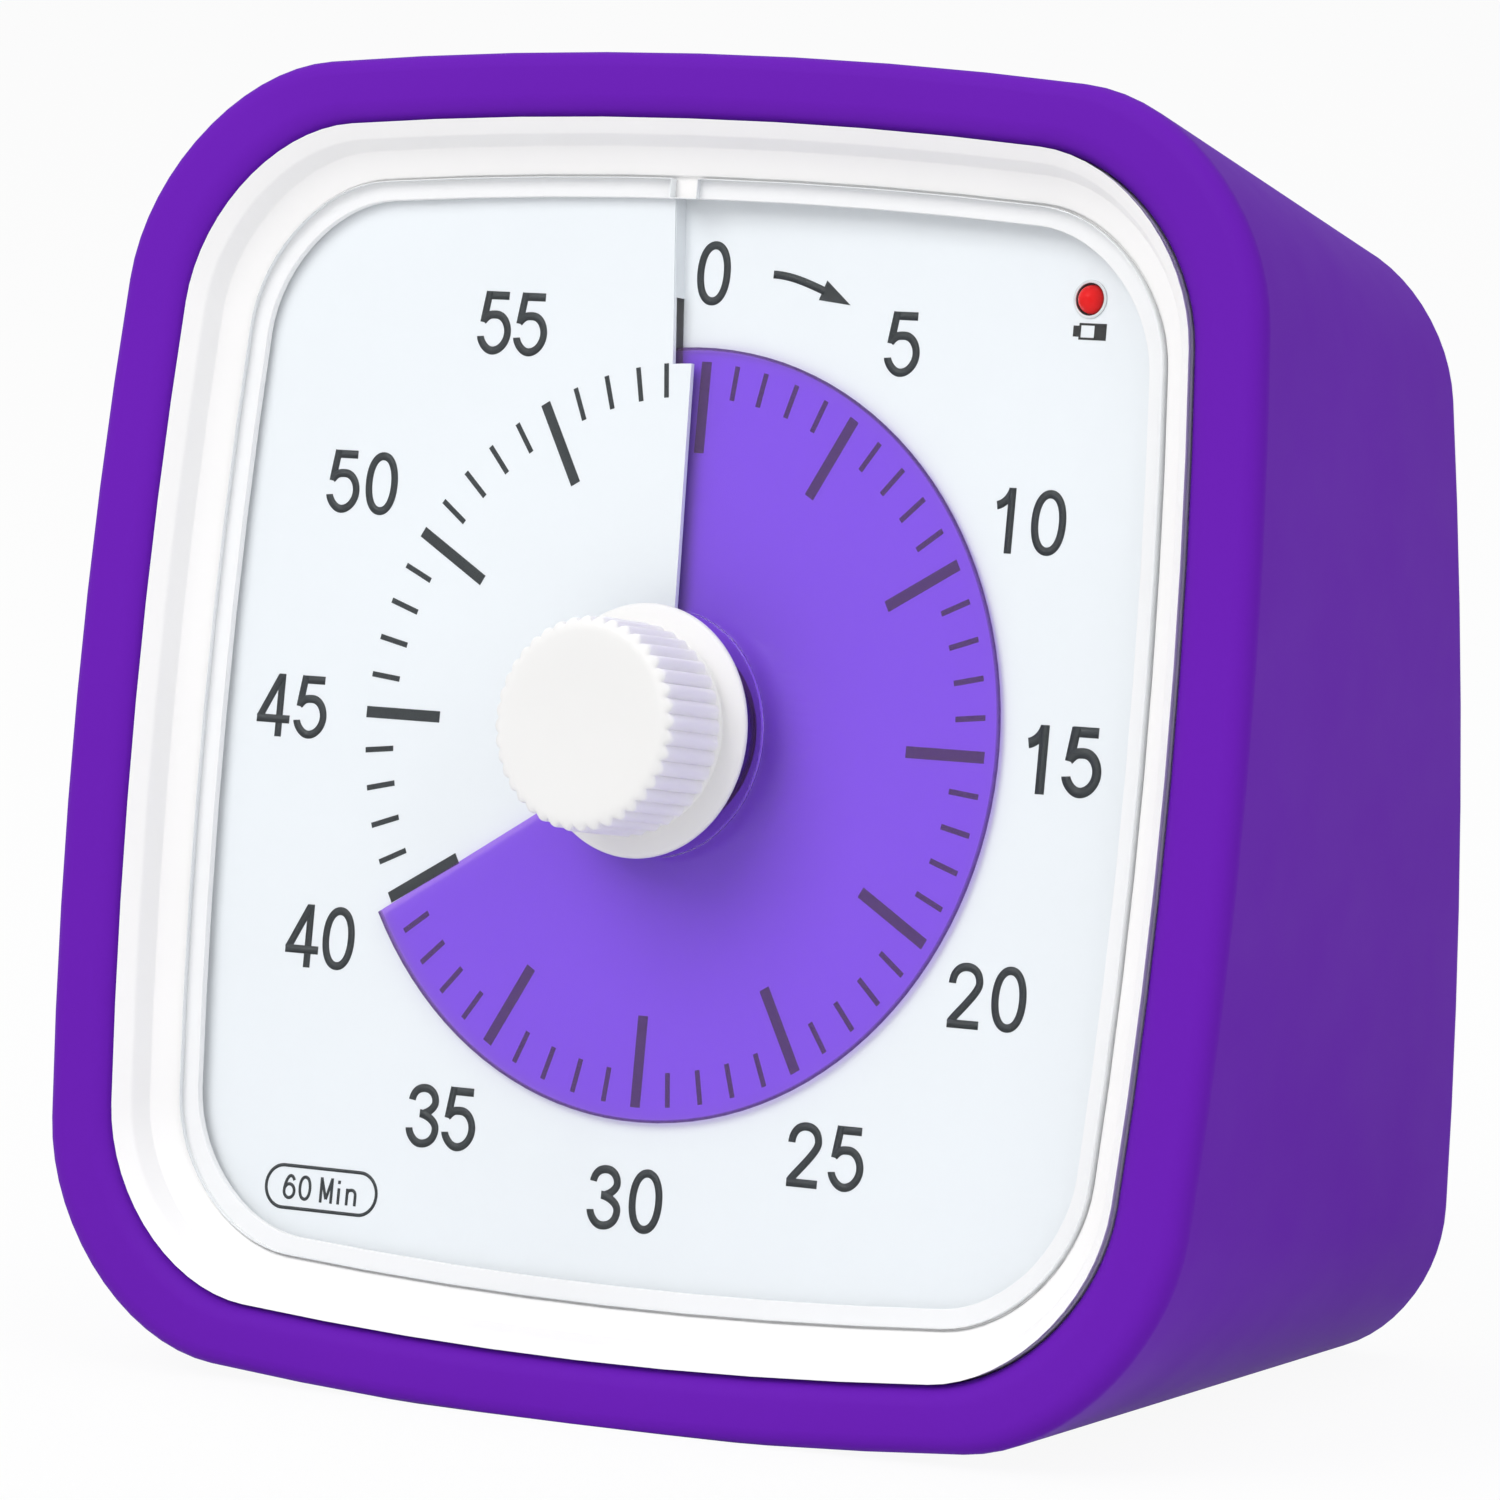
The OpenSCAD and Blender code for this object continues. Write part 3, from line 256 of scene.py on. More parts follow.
mouldedLook = {
    "mottle": 0.03,          # share by which the colour wanders
    "mottleScale": 60,
    "roughness": 0.4,
    "uneven": 0.05,          # the gloss wanders by this much
    "grain": 0.15,
    "grainScale": 2500,
    "grainDepth": 0.02,      # mm
    "metal": 0,
    "specular": 0.5,
}


def mouldedMaterial(name, colour, changes):
    # moulded or machined surface: slight mottling, a fine grain and uneven gloss
    look = {**mouldedLook, **changes}
    material, nodes, links, shader = newMaterial(name)
    points = objectPoints(nodes, links)
    mottle = noise(nodes, links, points, look["mottleScale"], 3)
    dark = [c * (1 - look["mottle"]) for c in colour]
    light = [min(1, c * (1 + look["mottle"])) for c in colour]
    links.new(ramp(nodes, links, mottle, [(0.35, dark), (0.65, light)]), shader.inputs["Base Color"])
    grain = noise(nodes, links, points, look["grainScale"], 2, 0.6)
    dull, uneven = look["roughness"], look["uneven"]
    links.new(spread(nodes, links, grain, dull - uneven, dull + uneven), shader.inputs["Roughness"])
    bumpInto(nodes, links, shader, grain, look["grain"], look["grainDepth"])
    shader.inputs["Metallic"].default_value = look["metal"]
    shader.inputs["Specular IOR Level"].default_value = look["specular"]
    return material


def knobMaterial(name, colour, look):
    # thick white plastic that lets a little light through its ribs; the ribs also get a painted highlight, a
    # paler colour than the cap and flange
    material = mouldedMaterial(name, colour, look)
    nodes, links = material.node_tree.nodes, material.node_tree.links
    shader = nodes["Principled BSDF"]
    apart = nodes.new("ShaderNodeSeparateXYZ")
    links.new(objectPoints(nodes, links, onFace=True), apart.inputs["Vector"])
    level = nodes.new("ShaderNodeMapRange")
    level.inputs["From Max"].default_value = look["top"] * mm
    links.new(apart.outputs["Z"], level.inputs["Value"])
    # painted highlight: the band of ribs between these heights is painted paler, and the plain colour stays
    # outside it
    low, high = (height / look["top"] for height in look["paintedRibsBetween"])
    outsidePaintedRibs = ramp(nodes, links, level.outputs["Result"], [
        (low - 0.01, (1, 1, 1)), (low, (0, 0, 0)), (high, (0, 0, 0)), (high + 0.04, (1, 1, 1))])
    paintedRibTone = nodes.new("ShaderNodeMix")
    paintedRibTone.data_type = "RGBA"
    links.new(outsidePaintedRibs, paintedRibTone.inputs["Factor"])
    paintedRibTone.inputs["A"].default_value = (*look["ribs"], 1)
    links.new(shader.inputs["Base Color"].links[0].from_socket, paintedRibTone.inputs["B"])
    links.new(paintedRibTone.outputs["Result"], shader.inputs["Base Color"])
    shader.inputs["Subsurface Weight"].default_value = look["throughShare"]
    shader.inputs["Subsurface Radius"].default_value = (1, 1, 1)
    shader.inputs["Subsurface Scale"].default_value = look["throughReach"] * mm
    return material


brushedLook = {
    "lines": (400, 4000, 4000),    # fine across the draw, long along it
    "darkShare": 0.85,
    "uneven": 0.08,
    "relief": 0.1,
    "reliefDepth": 0.01,           # mm
}


def brushedMaterial(name, colour, dull):
    # metal with fine drawn lines along one axis
    look = brushedLook
    material, nodes, links, shader = newMaterial(name)
    points = objectPoints(nodes, links)
    stretch = nodes.new("ShaderNodeMapping")
    stretch.inputs["Scale"].default_value = look["lines"]
    links.new(points, stretch.inputs["Vector"])
    lines = noise(nodes, links, stretch.outputs["Vector"], 1.0, 3, 0.6)
    dark = [c * look["darkShare"] for c in colour]
    links.new(ramp(nodes, links, lines, [(0.3, dark), (0.7, colour)]), shader.inputs["Base Color"])
    gloss = spread(nodes, links, lines, dull - look["uneven"], dull + look["uneven"])
    links.new(gloss, shader.inputs["Roughness"])
    bumpInto(nodes, links, shader, lines, look["relief"], look["reliefDepth"])
    shader.inputs["Metallic"].default_value = 1
    return material


siliconeLook = {
    "colour": (0.133, 0.0115, 0.420),
    "cloudScale": 22,
    "cloudShare": 0.04,
    "roughness": (0.50, 0.61),
    "hazeScale": 180,
    "skinScale": 3500,
    "skin": 0.12,
    "skinDepth": 0.015,            # mm
    "specular": 0.05,
}


def siliconeMaterial():
    look = siliconeLook
    material, nodes, links, shader = newMaterial("siliconeRubber")
    points = objectPoints(nodes, links)
    clouds = noise(nodes, links, points, look["cloudScale"])
    dark = [c * (1 - look["cloudShare"]) for c in look["colour"]]
    light = [c * (1 + look["cloudShare"]) for c in look["colour"]]
    links.new(ramp(nodes, links, clouds, [(0.3, dark), (0.7, light)]), shader.inputs["Base Color"])
    haze = noise(nodes, links, points, look["hazeScale"], 3)
    links.new(spread(nodes, links, haze, *look["roughness"]), shader.inputs["Roughness"])
    skin = noise(nodes, links, points, look["skinScale"])
    bumpInto(nodes, links, shader, skin, look["skin"], look["skinDepth"])
    shader.inputs["Specular IOR Level"].default_value = look["specular"]
    return material


filmLook = {
    "body": (0.78, 0.44, 0.88),
    "bodyShare": 0.08,               # share of the light that each face scatters
    "tint": (0.685, 0.515, 0.975),   # what each face lets through
    "roughness": (0.26, 0.36),
    "grainScale": 1800,
    "rimShadeFrom": 22.30,               # painted shade: the film is painted darker along its rim from this radius, mm
    "rimShadeWide": 0.1,
    "rimShadeShare": 0.5,
}


def filmMaterial():
    look = filmLook
    material, nodes, links, shader = newMaterial("purpleFilm")
    points = objectPoints(nodes, links, onFace=True)
    shader.inputs["Base Color"].default_value = (*look["body"], 1)
    fine = noise(nodes, links, points, look["grainScale"])
    links.new(spread(nodes, links, fine, *look["roughness"]), shader.inputs["Roughness"])
    flat = nodes.new("ShaderNodeVectorMath")
    flat.operation = "MULTIPLY"
    flat.inputs[1].default_value = (1 / mm, 1 / mm, 0)
    links.new(points, flat.inputs[0])
    reach = nodes.new("ShaderNodeVectorMath")
    reach.operation = "LENGTH"
    links.new(flat.outputs["Vector"], reach.inputs[0])
    # painted shade: a dark band along the rim of the film
    rim = nodes.new("ShaderNodeMapRange")
    rim.inputs["From Min"].default_value = look["rimShadeFrom"]
    rim.inputs["From Max"].default_value = look["rimShadeFrom"] + look["rimShadeWide"]
    links.new(reach.outputs["Value"], rim.inputs["Value"])
    dark = [c * look["rimShadeShare"] for c in look["tint"]]
    tint = ramp(nodes, links, rim.outputs["Result"], [(0, look["tint"]), (1, dark)])
    clear = nodes.new("ShaderNodeBsdfTransparent")
    links.new(tint, clear.inputs["Color"])
    mix = mixInto(nodes, links, clear.outputs["BSDF"], shader.outputs["BSDF"], "Material Output")
    mix.inputs["Fac"].default_value = look["bodyShare"]
    return material


lensLook = {
    "colour": (0.985, 0.992, 1.0, 1),
    "ior": 1.49,
    "coating": (0.3, 0.3, 0.3, 1),       # what a coating against glare leaves of the mirroring
    "roughness": (0.0, 0.02),
    "hazeScale": 90,
    "shadow": (0.97, 0.975, 0.98, 1),    # what falls through onto the dial
    "edgeHighlightColours": ((0.80, 0.83, 0.85), (0.90, 0.92, 0.93)),
    "edgeScale": 60,
    "edgeRoughness": (0.06, 0.16),
    "polishScale": 900,
}


def lensMaterial():
    look = lensLook
    material, nodes, links, shader = newMaterial("clearLens")
    points = objectPoints(nodes, links)
    shader.inputs["Base Color"].default_value = look["colour"]
    shader.inputs["Transmission Weight"].default_value = 1
    shader.inputs["IOR"].default_value = look["ior"]
    shader.inputs["Specular Tint"].default_value = look["coating"]
    haze = noise(nodes, links, points, look["hazeScale"])
    links.new(spread(nodes, links, haze, *look["roughness"]), shader.inputs["Roughness"])
    clear = nodes.new("ShaderNodeBsdfTransparent")
    clear.inputs["Color"].default_value = look["shadow"]
    mix = mixInto(nodes, links, shader.outputs["BSDF"], clear.outputs["BSDF"], "Material Output")
    links.new(anyRay(nodes, links, "Is Shadow Ray", "Is Diffuse Ray"), mix.inputs["Fac"])
    return material


def lensEdgeMaterial():
    # painted highlight: the rim of the lens gets a pale, opaque finish that stands in for the bright lines
    # of light along the edges of the clear lens
    look = lensLook
    material, nodes, links, shader = newMaterial("lensRimHighlight")
    points = objectPoints(nodes, links)
    wash = noise(nodes, links, points, look["edgeScale"])
    dark, light = look["edgeHighlightColours"]
    links.new(ramp(nodes, links, wash, [(0.3, dark), (0.7, light)]), shader.inputs["Base Color"])
    polish = noise(nodes, links, points, look["polishScale"])
    links.new(spread(nodes, links, polish, *look["edgeRoughness"]), shader.inputs["Roughness"])
    return material


whitePlastic = mouldedMaterial("whitePlastic", (0.945, 0.935, 0.93),
                               {"roughness": 0.34, "mottle": 0.012, "grain": 0.08})
knobPlastic = knobMaterial("knobPlastic", (0.83, 0.825, 0.815), {
    "roughness": 0.42,
    "mottle": 0.012,
    "grain": 0.1,
    "throughShare": 0.5,             # share of the light that goes into the plastic
    "throughReach": 0.6,             # mm
    "ribs": (0.95, 0.945, 0.93),     # painted highlight: the ribs are painted paler than the cap
    "paintedRibsBetween": (3.5, 8.8),       # heights, mm
    "top": 9.3,
})
dialCard = mouldedMaterial("dialCard", (0.875, 0.905, 0.925),
                           {"roughness": 0.45, "mottle": 0.01, "mottleScale": 40, "grain": 0.06})
inkGrey = mouldedMaterial("inkGrey", (0.012, 0.018, 0.021),
                          {"roughness": 0.55, "mottle": 0.12, "mottleScale": 500, "grain": 0.2})
iconBlack = mouldedMaterial("iconBlack", (0.004, 0.004, 0.004),
                            {"roughness": 0.6, "mottle": 0.1, "mottleScale": 800})
silicone = siliconeMaterial()
purpleFilm = filmMaterial()
clearLens = lensMaterial()
lensRimHighlight = lensEdgeMaterial()


boardLook = {
    "trackScale": 420,
    "track": (0.05, 0.20, 0.08),
    "mask": (0.015, 0.10, 0.045),
    "trackTo": (0.06, 0.12),
    "maskScale": 1500,
    "roughness": (0.25, 0.38),
    "relief": 0.2,
    "reliefDepth": 0.02,       # mm
}


def boardMaterial():
    # green solder mask over copper tracks
    look = boardLook
    material, nodes, links, shader = newMaterial("circuitBoard")
    points = objectPoints(nodes, links)
    tracks = nodes.new("ShaderNodeTexVoronoi")
    tracks.distance = "MANHATTAN"
    tracks.feature = "DISTANCE_TO_EDGE"
    tracks.inputs["Scale"].default_value = look["trackScale"]
    links.new(points, tracks.inputs["Vector"])
    inner, outer = look["trackTo"]
    tint = ramp(nodes, links, tracks.outputs["Distance"], [(inner, look["track"]), (outer, look["mask"])])
    links.new(tint, shader.inputs["Base Color"])
    mask = noise(nodes, links, points, look["maskScale"])
    links.new(spread(nodes, links, mask, *look["roughness"]), shader.inputs["Roughness"])
    bumpInto(nodes, links, shader, tracks.outputs["Distance"], look["relief"], look["reliefDepth"])
    return material


windingLook = {
    "turnScale": 2600,
    # painted shade: the grooves between the turns are painted darker
    "between": (0.25, 0.08, 0.02),
    "wire": (0.65, 0.27, 0.09),
    "roughness": (0.45, 0.25),
    "relief": 0.6,
    "reliefDepth": 0.04,       # mm
    "metal": 0.9,
}


def windingMaterial():
    # fine enamelled copper wire, laid side by side, with painted shade in the grooves between the turns
    look = windingLook
    material, nodes, links, shader = newMaterial("copperWinding")
    points = objectPoints(nodes, links, onFace=True)
    turns = nodes.new("ShaderNodeTexWave")
    turns.bands_direction = "X"
    turns.inputs["Scale"].default_value = look["turnScale"]
    links.new(points, turns.inputs["Vector"])
    tint = ramp(nodes, links, turns.outputs["Fac"], [(0.0, look["between"]), (0.6, look["wire"])])
    links.new(tint, shader.inputs["Base Color"])
    links.new(spread(nodes, links, turns.outputs["Fac"], *look["roughness"]), shader.inputs["Roughness"])
    bumpInto(nodes, links, shader, turns.outputs["Fac"], look["relief"], look["reliefDepth"])
    shader.inputs["Metallic"].default_value = look["metal"]
    return material


cellLook = {
    "ends": (-0.026, 0.026),       # metres along the cell
    "bandFrom": 0.70,              # share of the length
    "bandBlur": 0.005,
    "body": (0.03, 0.032, 0.04),
    "band": (0.62, 0.33, 0.12),
    "sleeveScale": 700,
    "roughness": (0.18, 0.30),
}


def cellMaterial():
    # a plain printed sleeve: dark body and a copper-coloured band at the button end
    look = cellLook
    material, nodes, links, shader = newMaterial("cellSleeve")
    points = objectPoints(nodes, links)
    apart = nodes.new("ShaderNodeSeparateXYZ")
    links.new(points, apart.inputs["Vector"])
    place = nodes.new("ShaderNodeMapRange")
    place.inputs["From Min"].default_value, place.inputs["From Max"].default_value = look["ends"]
    links.new(apart.outputs["X"], place.inputs["Value"])
    bands = ramp(nodes, links, place.outputs["Result"], [
        (look["bandFrom"], look["body"]), (look["bandFrom"] + look["bandBlur"], look["band"])])
    links.new(bands, shader.inputs["Base Color"])
    sleeve = noise(nodes, links, points, look["sleeveScale"])
    links.new(spread(nodes, links, sleeve, *look["roughness"]), shader.inputs["Roughness"])
    return material


ledRed = mouldedMaterial("ledRed", (0.86, 0.001, 0.002), {
    "roughness": 0.12, "specular": 0.12, "mottle": 0.06, "mottleScale": 900, "grain": 0.02})
# painted highlight: pale colour for the ring round the battery light
paintedLitCollar = mouldedMaterial("paintedLitCollar", (0.74, 0.76, 0.77), {"roughness": 0.4})
backPlastic = mouldedMaterial("backPlastic", (0.88, 0.875, 0.87),
                              {"roughness": 0.42, "mottle": 0.015, "grain": 0.25, "grainScale": 1800})
switchBlack = mouldedMaterial("switchBlack", (0.025, 0.025, 0.027),
                              {"roughness": 0.45, "mottle": 0.1, "grain": 0.3})
chassisPlastic = mouldedMaterial("chassisPlastic", (0.80, 0.80, 0.77), {"roughness": 0.55, "grain": 0.3})
movementPlastic = mouldedMaterial("movementPlastic", (0.80, 0.78, 0.70), {"roughness": 0.5, "grain": 0.25})
gearPlastic = mouldedMaterial("gearPlastic", (0.84, 0.83, 0.79), {"roughness": 0.38, "grain": 0.1})
hubPlastic = mouldedMaterial("hubPlastic", (0.15, 0.06, 0.40), {"roughness": 0.5})
bobbinPlastic = mouldedMaterial("bobbinPlastic", (0.03, 0.10, 0.05), {"roughness": 0.45})
chipEpoxy = mouldedMaterial("chipEpoxy", (0.02, 0.02, 0.021),
                            {"roughness": 0.6, "mottle": 0.15, "grain": 0.4})
capacitorSleeve = mouldedMaterial("capacitorSleeve", (0.03, 0.035, 0.09), {"roughness": 0.3})
buzzerBlack = mouldedMaterial("buzzerBlack", (0.02, 0.02, 0.021), {"roughness": 0.5, "grain": 0.2})
magnetFerrite = mouldedMaterial("magnetFerrite", (0.10, 0.10, 0.11),
                                {"roughness": 0.5, "metal": 0.6, "mottle": 0.1, "grain": 0.4})
redWire = mouldedMaterial("redWire", (0.60, 0.02, 0.02), {"roughness": 0.4})
greyWire = mouldedMaterial("greyWire", (0.40, 0.40, 0.40), {"roughness": 0.4})
yellowWire = mouldedMaterial("yellowWire", (0.75, 0.60, 0.05), {"roughness": 0.4})
screwSteel = brushedMaterial("screwSteel", (0.55, 0.56, 0.58), 0.30)
spindleSteel = brushedMaterial("spindleSteel", (0.50, 0.51, 0.53), 0.22)
contactBrass = brushedMaterial("contactBrass", (0.70, 0.50, 0.20), 0.30)
statorSteel = brushedMaterial("statorSteel", (0.40, 0.41, 0.43), 0.35)
canSteel = brushedMaterial("canSteel", (0.60, 0.61, 0.63), 0.18)
switchSteel = brushedMaterial("switchSteel", (0.55, 0.56, 0.58), 0.32)
contactSteel = brushedMaterial("contactSteel", (0.62, 0.63, 0.65), 0.24)
circuitBoard = boardMaterial()
copperWinding = windingMaterial()
cellSleeve = cellMaterial()
print("materials made")


# rubber cover

coverShape = {"smoothAngle": 40}
coverSkin = copyNode("silicone_cover", "coverSkin")
smooth(coverSkin, coverShape["smoothAngle"])
finishPiece(coverSkin, silicone, "timer_case", "purple_silicone", "silicone_cover")
print("rubber cover made")


# white case front

bezelShape = {
    "slope": (2.15, 3.95),       # heights between which the bezel slopes, mm
    "slopeTilt": (0.3, 0.97),    # how squarely the slope looks out of the face
    "creaseAt": 2.80,            # the slope turns steeper from this height, mm
    "creaseRise": 0.42,
    "creaseRound": 0.12,
    "rim": (2.2, 3.98),          # heights of the upright rim, mm
    "rimTilt": 0.2,
    "rimOut": 0.08,              # the rim is pressed out against the rubber lip, mm
    "edgeRound": 0.12,
    "smoothAngle": 28,
}
bezel = copyNode("front_housing", "bezelRing")
low, high = bezelShape["slope"]
least, most = bezelShape["slopeTilt"]
for face in bezel.data.polygons:
    height = (face.center - dialCentre).dot(outOfFace) / mm
    face.select = low < height < high and least < face.normal.dot(outOfFace) < most
bpy.ops.object.mode_set(mode="EDIT")
bpy.ops.mesh.select_mode(type="FACE")
bpy.ops.mesh.bisect(plane_co=dialCentre + outOfFace * bezelShape["creaseAt"] * mm, plane_no=outOfFace)
bpy.ops.transform.translate(value=outOfFace * bezelShape["creaseRise"] * mm)
bpy.ops.mesh.bevel(offset=bezelShape["creaseRound"] * mm, segments=2)
bpy.ops.mesh.select_all(action="DESELECT")
bpy.ops.object.mode_set(mode="OBJECT")
low, high = bezelShape["rim"]
for face in bezel.data.polygons:
    fromCentre = face.center - dialCentre
    height = fromCentre.dot(outOfFace) / mm
    upright = abs(face.normal.dot(outOfFace)) < bezelShape["rimTilt"]
    face.select = low < height < high and upright and face.normal.dot(fromCentre) > 0
bpy.ops.object.mode_set(mode="EDIT")
bpy.ops.transform.shrink_fatten(value=bezelShape["rimOut"] * mm)
bpy.ops.object.mode_set(mode="OBJECT")
softEdges(bezel, bezelShape["edgeRound"])
smooth(bezel, bezelShape["smoothAngle"])
finishPiece(bezel, whitePlastic, "timer_case", "white_plastic", "front_housing")
print("case front made")


# lens

lensShape = {
    "seatGap": 0.02,        # the lens rests this far above its ledge, mm
    "edgeRound": 0.14,
    "edgeSteps": 3,
    "smoothAngle": 30,
    "flatFrom": 0.97,       # faces that look out more squarely than this are the clear window
    "holeWithin": 9.0,      # the edge of the knob's hole stays clear, mm from the middle
}
lens = copyNode("lens", "lensPlate")
lens.location = outOfFace * lensShape["seatGap"] * mm
settle(lens)
softEdges(lens, lensShape["edgeRound"], lensShape["edgeSteps"])
smooth(lens, lensShape["smoothAngle"])
finishPiece(lens, clearLens, "timer_case", "clear_lens", "lens")
# painted highlight: the edge faces outside the knob's hole take the pale rim finish
lens.data.materials.append(lensRimHighlight)
for face in lens.data.polygons:
    beyondHole = (face.center - dialCentre).length > lensShape["holeWithin"] * mm
    if beyondHole and abs(face.normal.dot(outOfFace)) < lensShape["flatFrom"]:
        face.material_index = 1
print("lens made")


# battery light

lightShape = {
    "at": (25.6, 26.3),
    "domeAngle": 45,
    "collar": 0.93,         # inside radius of the pale collar, a painted highlight that stands in for the lit wall of the light's hole, mm
    "collarWide": 0.18,
    "collarHigh": 0.10,
    "collarRound": 0.04,
    "collarSides": 64,
    "collarAngle": 40,
}
dome = copyNode("warning_led", "batteryLight")
smooth(dome, lightShape["domeAngle"])
finishPiece(dome, ledRed, "timer_case", "led_red", "warning_led")

# painted highlight: a pale ring round the battery light covers the shaded gap and stands in for the lit wall
# of the hole in the dial
bpy.ops.mesh.primitive_circle_add(vertices=lightShape["collarSides"], radius=lightShape["collar"],
                                  fill_type="NOTHING")
collar = bpy.context.object
collar.name = "paintedLitCollar"
bpy.ops.object.mode_set(mode="EDIT")
bpy.ops.mesh.select_all(action="SELECT")
bpy.ops.mesh.extrude_edges_move()
grow = 1 + lightShape["collarWide"] / lightShape["collar"]
bpy.ops.transform.resize(value=(grow, grow, 1), center_override=(0, 0, 0))
bpy.ops.mesh.select_all(action="SELECT")
bpy.ops.mesh.normals_make_consistent(inside=False)
bpy.ops.object.mode_set(mode="OBJECT")
wall = collar.modifiers.new("collarWall", "SOLIDIFY")
wall.thickness = lightShape["collarHigh"]
wall.offset = 0
edge = collar.modifiers.new("collarRound", "BEVEL")
edge.width = lightShape["collarRound"]
edge.segments = 2
applyAll(collar)
x, y = lightShape["at"]
collar.location = (x, y, dialHeight(x, y) + lightShape["collarHigh"] / 2)
settle(collar)
toFace(collar)
smooth(collar, lightShape["collarAngle"])
finishPiece(collar, paintedLitCollar, "timer_case", "dial_print")
print("battery light made")


# dial sheet, with a fold in the card that closes the outer part of its slit

dialShape = {
    "foldFrom": 25.4,       # radii, mm
    "foldTo": 31.68,
    "foldTurn": -5.05,      # degrees
    "foldLow": -0.74,
    "foldHigh": 0.2,
    "foldCuts": 3,
    "card": 0.05,
    "smoothAngle": 20,
}
dialPiece = copyNode("dial", "dialCard")
bpy.ops.mesh.primitive_plane_add(size=1, rotation=(0, math.pi / 2, 0))
fold = bpy.context.object
bpy.ops.object.transform_apply(location=True, rotation=True, scale=True)
near, far, low, high = (dialShape[end] for end in ("foldFrom", "foldTo", "foldLow", "foldHigh"))
bpy.ops.object.mode_set(mode="EDIT")
bpy.ops.mesh.select_all(action="SELECT")
bpy.ops.transform.resize(value=(1, far - near, high - low), center_override=(0, 0, 0))
bpy.ops.transform.translate(value=(0, (far + near) / 2, (high + low) / 2))
bpy.ops.transform.rotate(value=math.radians(dialShape["foldTurn"]), orient_axis="Z",
                         center_override=(0, 0, 0))
bpy.ops.mesh.subdivide(number_cuts=dialShape["foldCuts"])
bpy.ops.object.mode_set(mode="OBJECT")
card = fold.modifiers.new("cardWall", "SOLIDIFY")
card.thickness = dialShape["card"]
card.offset = 0
applyAll(fold)
toFace(fold)
dialPiece = joinAll([dialPiece, fold], "dialCard")
smooth(dialPiece, dialShape["smoothAngle"])
finishPiece(dialPiece, dialCard, "timer_case", "dial_print", "dial")
print("dial made")


# printed marks

inkShape = {
    "thickness": 0.016,     # above the sheet, mm
    "sink": 0.004,          # into it
    "lift": 0.0006,         # each stroke lies this much above the last, so that crossings stay clean
    "pen": 0.48,
}
penTips = {}


def penTip(width):
    # the cross-section of a printed stroke
    if width not in penTips:
        bpy.ops.curve.primitive_bezier_curve_add(location=(0, 0, 0))
        penTips[width] = bpy.context.object
        penTips[width].name = "penTip%03d" % int(width * 100)
        curve = penTips[width].data
        curve.splines.clear()
        spline = curve.splines.new("POLY")
        spline.points.add(3)
        half, low, high = width / 2, -inkShape["sink"], inkShape["thickness"]
        for point, (x, y) in zip(spline.points, [(-half, low), (half, low), (half, high), (-half, high)]):
            point.co = (x, y, 0, 1)
        spline.use_cyclic_u = True
        curve.dimensions = "2D"
        curve.fill_mode = "NONE"
    return penTips[width]


def drawStroke(points, width, closed=False):
    # points are (x, y) or (x, y, handleX, handleY): the handle is where the line is heading, in mm
    bpy.ops.curve.primitive_bezier_curve_add(location=(0, 0, 0))
    stroke = bpy.context.object
    curve = stroke.data
    curve.splines.clear()
    spline = curve.splines.new("BEZIER")
    spline.bezier_points.add(len(points) - 1)
    for knot, (x, y, *heading) in zip(spline.bezier_points, points):
        knot.co = (x, y, 0)
        knot.handle_left_type = knot.handle_right_type = "FREE" if heading else "VECTOR"
        if heading:
            handle = Vector((*heading, 0))
            knot.handle_right = knot.co + handle
            knot.handle_left = knot.co - handle
    spline.use_cyclic_u = closed
    spline.resolution_u = 14 if any(len(point) == 4 for point in points) else 4
    curve.dimensions = "2D"
    curve.fill_mode = "NONE"
    curve.bevel_mode = "OBJECT"
    curve.bevel_object = penTip(width)
    curve.use_fill_caps = not closed
    only(stroke)
    bpy.ops.object.convert(target="MESH")
    return bpy.context.object


